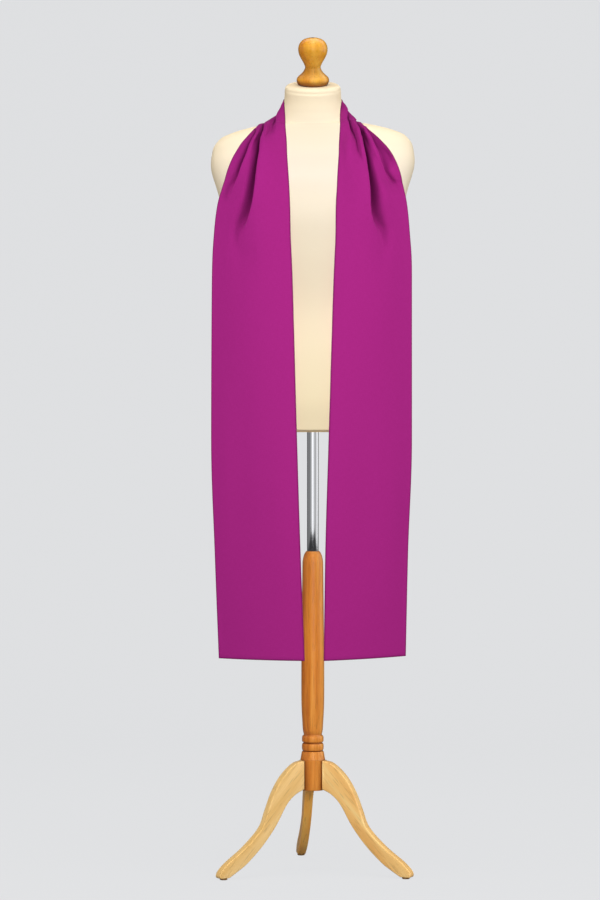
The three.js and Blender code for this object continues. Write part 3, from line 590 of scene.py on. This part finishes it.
def seam_allowances(at, along, from_edge):
    """Where they lie inside and thicken the cloth, 0 to 1: along both edges and at the hem."""
    open_part = smooth_step((at - 6) / 3)[:, None]  # from the chest down
    from_hem = (along[-1] - along)[:, None]
    return np.maximum(
        smooth_step((HEM["edge"] + 1 - from_edge) / 2) * open_part,
        smooth_step((HEM["turn"] + 1.5 - from_hem) / 3),
    )


def loops_round(lines, half):
    """Loops round the cloth's thickness: over each line, round its end, under it and round its start."""
    tangent = unit(np.gradient(lines, axis=1))
    normal = np.stack([-tangent[..., 1], tangent[..., 0]], -1)

    def edge(i, outward, turns):
        out, up = outward * tangent[:, i, None], normal[:, i, None]
        return [lines[:, i, None] + half[:, i, None] * (np.cos(a) * up + np.sin(a) * out) for a in turns]

    over, under = lines + normal * half, (lines - normal * half)[:, ::-1]
    return np.concatenate([over, *edge(-1, 1, RIM), under, *edge(0, -1, RIM[::-1])], 1)


def end_rings(points, middle, row, before, reach):
    """Two more rings, that round off the cloth's end at a row."""
    outward = unit(middle[row] - middle[before])
    half = points[row] - middle[row]
    thick = np.linalg.norm(half, axis=-1, keepdims=True)
    return [
        middle[row] + half * math.cos(a) + outward * thick * reach * math.sin(a)
        for a in np.radians([45, 80])
    ]


def add_map(piece, name, u, v):
    """A pair of distances at every point of a piece, for its material."""
    corners = np.zeros(len(piece.data.loops), int)
    piece.data.loops.foreach_get("vertex_index", corners)
    pairs = np.stack([u.ravel(), v.ravel()], -1) * MM
    piece.data.uv_layers.new(name=name).data.foreach_set("uv", pairs[corners].ravel())


def build_tippet_half(side, name, material):
    """One half of the tippet as a thin closed shell, with turned, rounded edges."""
    at = STATIONS
    width = widths_at(side, at)
    lift = LIFT[side](at)["lift"]
    lines = np.array([
        softened(pleat_line(FOLDS[side], *row), LINE_STEPS) for row in zip(at, width, lift)
    ])
    steps = np.linalg.norm(np.diff(lines, axis=1), axis=-1)
    across = np.concatenate([np.zeros((len(at), 1)), np.cumsum(steps, 1)], 1)
    whole = across[:, -1:]
    middle_line = base_point(side, at, np.full_like(at, 0.5))
    along = np.concatenate([[0], np.cumsum(np.linalg.norm(np.diff(middle_line, axis=0), axis=1))])
    turned_in = seam_allowances(at, along, np.minimum(across, whole - across))
    half = (CLOTH["thick"] + CLOTH["margin"] * turned_in)[..., None] / 2
    loop = loops_round(lines, half)

    share = loop[..., 0] / width[:, None]
    count, sides = lines.shape[1], loop.shape[1]
    stations = np.repeat(at[:, None], sides, 1)
    places, outward = surface(side, stations, share)
    height = loop[..., 1] + crease_height(side, stations, share, width[:, None])
    points = places + outward * height[..., None]

    # For each point of a loop, the one opposite it on the cloth's other face.
    partner = (2 * count + len(RIM) - 1 - np.arange(sides)) % sides
    middle = (points + points[:, partner]) / 2
    points += clear_of_form(middle, CLOTH["lie"]) - middle
    points[0, :, 0] = side * CLOTH["seam"]
    middle = (points + points[:, partner]) / 2
    seam = end_rings(points, middle, 0, 1, reach=0.12)  # nearly flat
    hem = end_rings(points, middle, -1, -2, reach=1)
    points = np.concatenate([seam[::-1], points, hem])

    rings = len(points)
    faces = ring_faces(rings, sides, close_ends=False)
    for ring, flip in ((0, True), (rings - 1, False)):
        first = ring * sides
        for i in range(count - 1):
            face = [first + i, first + i + 1, first + partner[i + 1], first + partner[i]]
            faces.append(face[::-1] if flip else face)
    if side > 0:
        faces = [face[::-1] for face in faces]
    piece = mesh_object(name, points.reshape(-1, 3), faces, material, "form")

    # Where each point lies on the flat cloth, and how far it is to the nearest long edge and to
    # the hem. The rings at both ends repeat their neighbours.
    rows = np.pad(np.arange(len(at)), len(hem), "edge")
    end = whole.repeat(len(RIM), 1)
    u = np.concatenate([across, end, across[:, ::-1], 0 * end], 1)[rows]
    v = along[rows][:, None] + 0 * u
    add_map(piece, "cloth", u, v)
    add_map(piece, "edges", np.minimum(u, whole[rows] - u), along[-1] - v)
    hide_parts(name.replace("_cloth", ""))
    return piece


# ---- the stand ----

FINIAL_PROFILE = [
    (28, 0.3), (30.5, 2.5), (32, 6.5), (32.4, 10.5), (31, 14.5), (27, 18.7), (22, 23.3),
    (18.2, 28.3), (16, 32.8), (15.5, 35.5), (16.6, 39.5), (20, 46.5), (24.3, 54), (27.8, 62),
    (29.2, 70), (28.6, 77), (25.3, 84.5), (19, 90.2), (10, 93.5), (3, 94.3),
]
COLUMN_FOOT = [(22.5, 163), (23.6, 166), (24.4, 190), (24.8, 221), (24.75, LEG_LEDGE)]
COLUMN_TOP = [
    (24.75, LEG_LEDGE), (23.6, 230), (22.2, 238), (21, 240.4), (18.9, 241.6), (20.9, 243),
    (21.7, 248.5), (21.1, 255), (18.6, 257.6), (21.1, 260), (21.6, 265.5), (20.9, 270.5),
    (18.2, 273.4), (18.6, 276.5), (20, 284), (21, 300), (22.2, 322), (22.9, 350), (22.9, 420), (22.3, 480),
    (21.5, 550), (20.8, 610), (20.2, 622), (18.4, 631), (15.6, 637.5), (13.1, 640.7), (11.9, 640),
]
LEG_TOP = [
    (24.5, 223.2), (46, 217.5), (73, 195), (94, 164), (109, 129), (124, 95), (161, 60), (201, 32),
    (217, 17), (221, 9),
]
LEG_UNDER = [(198, 3.3), (176, 16), (155, 30), (121, 61), (91, 97), (66, 137), (46, 156), (24.5, 166)]


def build_finial(wood, plug_wood):
    """The turned knob on the neck's leaning top, with its dowel."""
    profile = np.vstack([[(5, -23), (5, 0.3)], spline(FINIAL_PROFILE, 5)])
    knob = ring_object("finial_knob", on_cap(turned(profile)), wood, "form")
    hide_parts("finial")
    # The end of the dowel that runs up through the knob.
    profile = [(2.9, 93), (2.8, 94.4), (2.3, 94.7), (0.8, 94.8)]
    rings = on_cap(turned(profile, PLUG_SIDES))
    ring_object("finial_plug", rings, plug_wood, "form")


def build_pole(chrome):
    """The chromed tube, open at its lower end."""
    profile = [
        (0.5, 900), (10, 900), (10, 431), (10.2, 430.2), (10.8, 430), (11.2, 430.2), (11.5, 431),
        (11.5, 700), (11.5, 1001), (11.2, 1001.7), (0.5, 1001.7),
    ]
    pole = ring_object("chrome_tube", turned(profile), chrome, "pole")
    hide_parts("pole")


def build_column(wood):
    """The turned column: its foot cut with three flats for the legs, and bored for the pole."""
    sides = TURNED_SIDES * 2
    turns = np.linspace(0, 2 * math.pi, sides, endpoint=False)
    foot = turned(spline(COLUMN_FOOT, 5), sides)
    limit = np.full(sides, 1e3)
    for turn in LEG_TURNS.values():
        away = (turns - math.radians(turn) + math.pi) % (2 * math.pi) - math.pi
        near = np.abs(away) < math.radians(80)
        limit = np.where(near, np.minimum(limit, LEG_FLAT / np.cos(np.where(near, away, 0))), limit)
    radius = np.hypot(foot[..., 0], foot[..., 1])
    cut = np.minimum(radius, limit)
    foot[..., :2] *= (cut / radius)[..., None]
    top = turned(spline(COLUMN_TOP, 6), sides)
    bore = turned([(11.9, 600), (11.9, 262), (0.5, 262)], sides)
    start = turned([(0.5, 163), (11, 163), (18, 163)], sides)
    rings = np.concatenate([start, foot, top, bore])
    column = ring_object("turned_column", rings, wood, "stand")
    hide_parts("column")


def build_leg(name, turn, wood):
    """A sawn board, its long edges rounded over."""
    outline = np.vstack([
        spline(LEG_TOP, 6), [(220.6, 6), (219.4, 4.2), (217.4, 3.3)], spline(LEG_UNDER, 6),
    ])
    half = LEG_THICK / 2
    tangent = unit(np.roll(outline, -1, 0) - np.roll(outline, 1, 0))
    inward = np.stack([tangent[:, 1], -tangent[:, 0]], -1)
    rings = []
    for a in np.radians(np.linspace(0, 90, 6)):
        line = outline + inward * LEG_ROUND * (1 - math.sin(a))
        across = np.full(len(line), half - LEG_ROUND * (1 - math.cos(a)))
        rings.append(np.stack([line[:, 0], across, line[:, 1]], -1))
    rings = np.array([ring * (1, -1, 1) for ring in rings] + rings[::-1])
    spin = np.array(Matrix.Rotation(math.radians(turn), 3, "Z"))
    leg = ring_object(f"{name}_board", rings @ spin.T, wood, "stand")
    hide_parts(f"leg_{name}")


def build_glide(name, turn, pad):
    """The round pad under a foot."""
    profile = [(0.5, 0), (6.6, 0), (7.2, 0.25), (7.5, 0.8), (7.5, 2.4), (7.3, 2.8), (6.9, 3), (0.5, 3)]
    way = math.radians(turn)
    spot = [GLIDE_OUT * math.cos(way), GLIDE_OUT * math.sin(way), 0]
    glide = ring_object(f"{name}_pad", turned(profile, PAD_SIDES) + spot, pad, "stand")
    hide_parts(f"glide_{name}")


# ---- materials ----


def srgb(red, green, blue):
    """Blender's linear colour of a colour as screens state it, 0 to 255."""
    def linear(v):
        v /= 255
        return v / 12.92 if v <= 0.04045 else ((v + 0.055) / 1.055) ** 2.4
    return (linear(red), linear(green), linear(blue), 1)


BLACK, WHITE = (0, 0, 0, 1), (1, 1, 1, 1)


class Nodes:
    """A short way to write the nodes of a material or a world."""

    def __init__(self, owner):
        owner.use_nodes = True
        self.owner = owner
        self.tree = owner.node_tree

    def add(self, kind, inputs=None, **settings):
        node = self.tree.nodes.new(kind)
        for key, value in settings.items():
            setattr(node, key, value)
        for key, value in (inputs or {}).items():
            self.put(node.inputs[key], value)
        return node

    def put(self, socket, value):
        if isinstance(value, bpy.types.NodeSocket):
            self.tree.links.new(value, socket)
        else:
            socket.default_value = value

    def math(self, operation, a, b=0.0, clamp=False):
        return self.add("ShaderNodeMath", {0: a, 1: b}, operation=operation, use_clamp=clamp).outputs[0]

    def times(self, a, b, clamp=False):
        return self.math("MULTIPLY", a, b, clamp)

    def scaled(self, value, gain, offset):
        """The value times the gain, plus the offset."""
        inputs = {0: value, 1: gain, 2: offset}
        return self.add("ShaderNodeMath", inputs, operation="MULTIPLY_ADD").outputs[0]

    def noise(self, place, scale, detail, rough=0.5):
        inputs = {"Vector": place, "Scale": scale, "Detail": detail, "Roughness": rough}
        return self.add("ShaderNodeTexNoise", inputs).outputs["Fac"]

    def spots(self, scale, stretch=(1, 1, 1), detail=3, uv=None):
        """Noise from the piece's own place, or from its cloth coordinates, in metres."""
        if uv:
            place = self.add("ShaderNodeUVMap", uv_map=uv).outputs[0]
        else:
            place = self.add("ShaderNodeTexCoord").outputs["Object"]
        place = self.add("ShaderNodeMapping", {"Vector": place, "Scale": stretch}).outputs[0]
        return self.noise(place, scale, detail)

    def ramp(self, factor, stops):
        node = self.add("ShaderNodeValToRGB", {"Fac": factor})
        ramp = node.color_ramp
        while len(ramp.elements) < len(stops):
            ramp.elements.new(0.5)
        for element, (place, colour) in zip(ramp.elements, stops):
            element.position = place
            element.color = colour
        return node.outputs["Color"]

    def blend(self, factor, a, b, how="MIX"):
        node = self.add("ShaderNodeMix", data_type="RGBA", blend_type=how)
        for index, value in ((0, factor), (6, a), (7, b)):
            self.put(node.inputs[index], value)
        return node.outputs[2]

    def bump(self, height, distance, strength=1.0):
        sizes = {"Height": height, "Distance": distance, "Strength": strength}
        return self.add("ShaderNodeBump", sizes).outputs[0]

    def shade(self, **values):
        """Sets the surface shader's inputs, and gives back the material."""
        shader = self.tree.nodes["Principled BSDF"]
        for name, value in values.items():
            self.put(shader.inputs[name.replace("_", " ")], value)
        return self.owner


def new_nodes(name):
    return Nodes(bpy.data.materials.new(name))


def cloth_material():
    """Fine plain-woven cloth: threads both ways, a little slub, painted shade in folds and at edges."""
    n = new_nodes("tippet_cloth")
    place = n.add("ShaderNodeUVMap", uv_map="cloth").outputs[0]
    parts = n.add("ShaderNodeSeparateXYZ", {"Vector": place})
    thread = 2 * math.pi / (0.62 * MM)
    warp = n.math("SINE", n.times(parts.outputs[0], thread))
    weft = n.math("SINE", n.times(parts.outputs[1], thread))
    weave = n.scaled(n.times(warp, weft), 0.5, 0.5)
    slub_across = n.spots(900, (0.12, 1, 1), 2, uv="cloth")
    slub_along = n.spots(900, (1, 0.12, 1), 2, uv="cloth")
    slub = n.times(n.math("ADD", slub_across, slub_along), 0.5)
    cloud = n.spots(9, detail=2, uv="cloth")
    colour = n.ramp(slub, [(0.3, srgb(162, 35, 124)), (0.5, srgb(166, 37, 128)), (0.7, srgb(171, 40, 133))])
    colour = n.blend(n.times(cloud, 0.1), colour, srgb(154, 30, 116))
    colour = n.blend(n.times(weave, 0.06), colour, srgb(190, 62, 152))
    height = n.math("ADD", n.times(weave, 0.5), n.times(slub, 0.5))
    # Painted shade: the colour darkens where the folds close in.
    painted_shade = n.add("ShaderNodeAmbientOcclusion", {"Distance": 0.05}, samples=8).outputs["AO"]
    colour = n.blend(1.0, colour, n.scaled(painted_shade, 0.75, 0.25), "MULTIPLY")
    # Painted shade along the long edges and the hem: darker within 3 mm of them.
    edges = n.add("ShaderNodeSeparateXYZ", {"Vector": n.add("ShaderNodeUVMap", uv_map="edges").outputs[0]})
    nearest = n.math("MINIMUM", edges.outputs[0], edges.outputs[1])
    sizes = {"Value": nearest, "From Min": 0.0004, "From Max": 0.003, "To Min": 0.62, "To Max": 1.0}
    colour = n.blend(1.0, colour, n.add("ShaderNodeMapRange", sizes).outputs[0], "MULTIPLY")
    return n.shade(
        Base_Color=colour, Roughness=n.scaled(slub, 0.1, 0.75), Normal=n.bump(height, 0.00003, 0.4),
        Sheen_Weight=0.12, Sheen_Roughness=0.4, Sheen_Tint=srgb(236, 130, 205),
        Specular_IOR_Level=0.2,
    )


def cover_material(name, low, high, neck, shade_and_mottle):
    """The form's cover: a fine knit stretched tight, its colours from the hips up to the neck,
    with painted shade that makes it yellower and darker low down and at the neck.

    The last colour is painted shade where the knit is seen aslant, and the tone of its mottle.
    """
    n = new_nodes(name)
    place = n.add("ShaderNodeTexCoord").outputs["Object"]
    parts = n.add("ShaderNodeSeparateXYZ", {"Vector": place})
    rows = n.math("SINE", n.times(parts.outputs[2], 2 * math.pi / (1.1 * MM)))
    mottle = n.spots(14, detail=4)
    fuzz = n.spots(900, (1, 1, 0.5), 2)
    up = n.add("ShaderNodeMapRange", {"Value": parts.outputs[2], "From Min": 0.88, "From Max": 1.58})
    # Painted shade: the colours are yellower and darker low down and at the neck.
    colour = n.ramp(up.outputs[0], [(0.08, low), (0.72, high), (0.86, neck)])
    # Painted shade at the top of the chest between the shoulders, where it faces the top light.
    beside = n.math("ABSOLUTE", parts.outputs[0])
    between = {"Value": beside, "From Min": 0.06, "From Max": 0.12, "To Min": 1.0, "To Max": 0.0}
    chest_painted_shade = n.ramp(up.outputs[0], [(0.66, BLACK), (0.78, WHITE), (0.87, WHITE), (0.93, BLACK)])
    chest_painted_shade = n.times(chest_painted_shade, n.add("ShaderNodeMapRange", between).outputs[0])
    colour = n.blend(chest_painted_shade, colour, n.blend(1.0, colour, (0.865, 0.88, 0.92, 1), "MULTIPLY"))
    colour = n.blend(n.times(mottle, 0.12), colour, shade_and_mottle)
    # Painted shade: the last colour, laid on where the knit is seen aslant, toward the outline.
    edge = n.add("ShaderNodeLayerWeight", {"Blend": 0.3}).outputs["Facing"]
    colour = n.blend(n.times(n.math("POWER", edge, 1.6), 0.75), colour, shade_and_mottle)
    height = n.math("ADD", n.times(rows, 0.2), fuzz)
    return n.shade(
        Base_Color=colour, Roughness=0.85, Normal=n.bump(height, 0.00004, 0.3),
        Sheen_Weight=0.1, Sheen_Roughness=0.5, Specular_IOR_Level=0.2,
    )


def wood_material(
    name, dark, middle, light, grain=(1, 1, 0.045), turn=0.0, tilt=0.0, coat=0.6, scale=95, local=False
):
    """Varnished wood: long grain, fine pores, slow changes of colour, painted shade in hollows.

    The grain runs upward, or for a board in the plane of `turn` leans inward by `tilt` degrees.
    With `local`, only the piece's own hollows get painted shade.
    """
    n = new_nodes(name)
    place = n.add("ShaderNodeTexCoord").outputs["Object"]
    for spin in ((0, 0, -math.radians(turn)), (0, math.radians(tilt), 0)):
        place = n.add("ShaderNodeMapping", {"Vector": place, "Rotation": spin}).outputs[0]
    stretched = n.add("ShaderNodeMapping", {"Vector": place, "Scale": grain}).outputs[0]
    rings = n.noise(stretched, scale, 5, 0.6)
    fine = n.noise(stretched, scale * 7, 2)
    slow = n.noise(stretched, scale / 5, 1)
    amount = n.math("ADD", n.times(rings, 0.6), n.times(slow, 0.4))
    colour = n.ramp(amount, [(0.36, dark), (0.5, middle), (0.64, light)])
    pores = n.ramp(fine, [(0.34, BLACK), (0.42, WHITE)])
    colour = n.blend(0.22, colour, n.blend(1.0, colour, pores, "MULTIPLY"))
    # Painted shade: darker and browner in grooves, hollows and where parts meet.
    shade = n.add("ShaderNodeAmbientOcclusion", {"Distance": 0.02}, samples=6, only_local=local)
    painted_shade = n.times(n.math("SUBTRACT", 1.0, shade.outputs["AO"]), 2.2, clamp=True)
    colour = n.blend(painted_shade, colour, n.blend(1.0, colour, (0.32, 0.22, 0.14, 1), "MULTIPLY"))
    return n.shade(
        Base_Color=colour, Roughness=n.scaled(rings, 0.2, 0.28), Normal=n.bump(fine, 0.00015, 0.25),
        Coat_Weight=coat, Coat_Roughness=0.16, Specular_IOR_Level=0.4,
    )


def chrome_material():
    """Bright chrome, with faint streaks along the tube."""
    n = new_nodes("chrome")
    streaks = n.spots(60, (1, 1, 0.03), 3)
    colour = n.ramp(streaks, [(0.3, srgb(212, 214, 218)), (0.7, srgb(232, 233, 236))])
    return n.shade(
        Base_Color=colour, Metallic=1.0, Roughness=n.scaled(streaks, 0.07, 0.05),
        Normal=n.bump(streaks, 0.00003, 0.2),
    )


def pad_material():
    """Dark felted rubber."""
    n = new_nodes("pad")
    grit = n.spots(1500, detail=3)
    colour = n.ramp(grit, [(0.35, srgb(118, 88, 54)), (0.65, srgb(150, 114, 72))])
    return n.shade(Base_Color=colour, Roughness=0.9, Normal=n.bump(grit, 0.0003, 0.5))


def paper_material():
    """Pale paper, evenly bright to the camera and grey in the light it gives back; clear from behind."""
    n = new_nodes("studio_paper")
    tone = n.spots(0.6, detail=1)
    seen = n.add("ShaderNodeLightPath").outputs["Is Camera Ray"]
    colour = n.ramp(tone, [(0.3, srgb(133, 134, 136)), (0.7, srgb(135, 136, 138))])
    colour = n.blend(seen, colour, srgb(62, 62, 62))
    glow = n.times(seen, 0.957)
    paper = n.shade(
        Base_Color=colour, Roughness=0.95, Specular_IOR_Level=0.0,
        Emission_Color=(0.745, 0.753, 0.768, 1), Emission_Strength=glow,
    )
    behind = n.add("ShaderNodeNewGeometry").outputs["Backfacing"]
    solid = n.tree.nodes["Principled BSDF"].outputs[0]
    clear = n.add("ShaderNodeBsdfTransparent").outputs[0]
    shown = n.add("ShaderNodeMixShader", {0: behind, 1: solid, 2: clear}).outputs[0]
    n.put(n.tree.nodes["Material Output"].inputs["Surface"], shown)
    return paper


# ---- the studio ----


def build_studio(paper):
    """A pale floor that curves up into a wall behind, in metres."""
    front, bend_start, radius, wall_top, half_width = -9.0, 2.2, 1.8, 6.0, 7.0
    profile = [(front, 0.0), (bend_start, 0.0)]
    for turn in np.linspace(0, 90, 24)[1:]:
        bend = math.radians(turn)
        profile.append((bend_start + radius * math.sin(bend), radius * (1 - math.cos(bend))))
    profile.append((bend_start + radius, wall_top))
    points = [(x, y, z) for y, z in profile for x in (-half_width, half_width)]
    faces = [(2 * i, 2 * i + 1, 2 * i + 3, 2 * i + 2) for i in range(len(profile) - 1)]
    sweep = add_mesh("studio_sweep", points, faces, paper)


def add_light(name, place, target, size, power, colour=(1, 1, 1)):
    """A soft panel lamp at a place, turned to a target, that no mirror shows."""
    light = bpy.data.lights.new(name, "AREA")
    light.shape = "RECTANGLE"
    light.size, light.size_y = size
    light.energy = power
    light.color = colour
    lamp = add_object(name, light)
    lamp.location = place
    lamp.rotation_euler = (Vector(target) - Vector(place)).to_track_quat("-Z", "Y").to_euler()
    lamp.visible_glossy = False
    return lamp


def light_some(lamp, pieces, state):
    """Limits a light to some pieces (INCLUDE), or has it pass them by, shadows too (EXCLUDE)."""
    group = bpy.data.collections.new(f"{lamp.name}_pieces")
    for piece in pieces:
        group.objects.link(piece)
    for entry in group.collection_objects:
        entry.light_linking.link_state = state
    lamp.light_linking.receiver_collection = group
    if state == "EXCLUDE":
        lamp.light_linking.blocker_collection = group


def build_lights(cloth_pieces):
    """Soft light: two lamps for the cloth alone, and four wide ones for all the rest."""
    near, broad = (0.8, 1.6), (2.0, 2.6)
    for_cloth = [
        add_light("cloth_right", (2.15, -1.8, 1.8), (0, 0, 1.1), near, 71, (1.0, 0.985, 0.99)),
        add_light("cloth_left", (-2.15, -1.8, 1.8), (0, 0, 1.1), near, 66),
    ]
    for_the_rest = [
        add_light("wide_front", (0.5, -3.4, 1.0), (0, 0, 0.8), (1.6, 2.2), 68, (1.0, 0.99, 0.97)),
        add_light("wide_right", (3.0, -1.2, 1.6), (0, 0, 1.0), broad, 42),
        add_light("wide_left", (-3.0, -1.2, 1.6), (0, 0, 1.0), broad, 42, (1.0, 0.96, 0.86)),
        add_light("wide_top", (0, -0.8, 4.0), (0, 0, 0.8), (2.4, 1.6), 74),
    ]
    for lamp in for_cloth:
        light_some(lamp, cloth_pieces, "INCLUDE")
    for lamp in for_the_rest:
        light_some(lamp, cloth_pieces, "EXCLUDE")


# What stands round the studio, from behind by the left, the front and the right to behind
# again: places as shares of a turn, and how bright it is there.
STUDIO_ROUND = [
    (0, 1.3), (0.1, 1.1), (0.15, 0.6), (0.2, 0.25), (0.31, 0.23), (0.37, 0.35), (0.43, 0.65),
    (0.475, 1.35), (0.525, 1.35), (0.545, 0.9), (0.6, 0.58), (0.655, 0.46), (0.72, 0.8), (0.79, 1.3),
    (1, 1.5),
]


def build_world():
    """Dim light from all round, and what the chrome and the varnish mirror of the studio."""
    world = bpy.data.worlds.new("studio_light")
    bpy.context.scene.world = world
    n = Nodes(world)
    way = n.add("ShaderNodeSeparateXYZ", {"Vector": n.add("ShaderNodeTexCoord").outputs["Generated"]})
    turn = n.math("ARCTAN2", way.outputs[0], n.times(way.outputs[1], -1.0))
    round_share = n.scaled(turn, 0.5 / math.pi, 0.5)
    mirrored = n.ramp(round_share, [(place, (grey, grey, grey, 1)) for place, grey in STUDIO_ROUND])
    glossy = n.add("ShaderNodeLightPath").outputs["Is Glossy Ray"]
    colour = n.blend(glossy, (0.07, 0.072, 0.075, 1), mirrored)
    n.put(n.tree.nodes["Background"].inputs["Color"], colour)


def build_camera():
    """Level with the form's waist, a long way off, a hair to the left of the axis."""
    distance, height, left, pitch = 5.6, 0.896, 0.0256, 0.5422
    camera = bpy.data.cameras.new("camera")
    camera.sensor_fit = "VERTICAL"
    camera.sensor_height = 36
    camera.lens = 112
    camera.clip_end = 60
    eye = add_object("camera", camera)
    eye.location = (AXIS.x - left, AXIS.y - distance, height)
    eye.rotation_euler = (math.radians(90 - pitch), 0, 0)
    bpy.context.scene.camera = eye


# ---- the whole ----

bpy.context.scene.view_settings.view_transform = "Standard"
build_camera()
build_studio(paper_material())

cloth = cloth_material()
cover = cover_material(
    "form_cover", srgb(240, 225, 190), srgb(243, 231, 213), srgb(238, 223, 196), srgb(239, 214, 162)
)
lining = cover_material(
    "form_lining", srgb(226, 203, 160), srgb(236, 214, 172), srgb(236, 214, 172), srgb(205, 180, 135)
)
finial_wood = wood_material(
    "finial_wood", srgb(204, 127, 24), srgb(225, 156, 38), srgb(237, 179, 62), scale=60, coat=0.7
)
plug_wood = wood_material("plug_wood", srgb(84, 54, 14), srgb(104, 70, 22), srgb(124, 86, 30))
column_wood = wood_material("column_wood", srgb(190, 101, 28), srgb(221, 135, 45), srgb(238, 160, 66))
chrome = chrome_material()
pad = pad_material()

form_pieces = build_form(cover, lining)
tippet_pieces = [
    build_tippet_half(-1, "tippet_left_cloth", cloth), build_tippet_half(1, "tippet_right_cloth", cloth)
]
for piece in [*form_pieces, *tippet_pieces]:
    piece.visible_glossy = False  # the pole mirrors only the studio
build_lights(tippet_pieces)
build_world()
build_finial(finial_wood, plug_wood)
build_pole(chrome)
build_column(column_wood)
# The back leg's colours are more orange and the brightest: partly its own tone, partly painted light that
# makes up for the shade of the column in front of it.
leg_colours = {
    "right": (srgb(241, 184, 106), srgb(252, 204, 128), srgb(255, 226, 158)),
    "left": (srgb(236, 190, 115), srgb(250, 209, 140), srgb(255, 226, 164)),
    "back": (srgb(250, 162, 68), srgb(255, 185, 84), srgb(255, 202, 106)),
}
for name, turn in LEG_TURNS.items():
    leg_wood = wood_material(
        f"leg_wood_{name}", *leg_colours[name], grain=(1, 1, 0.07), turn=turn, tilt=43,
        coat=0.5, scale=55, local=True,
    )
    build_leg(name, turn, leg_wood)
    build_glide(name, turn, pad)
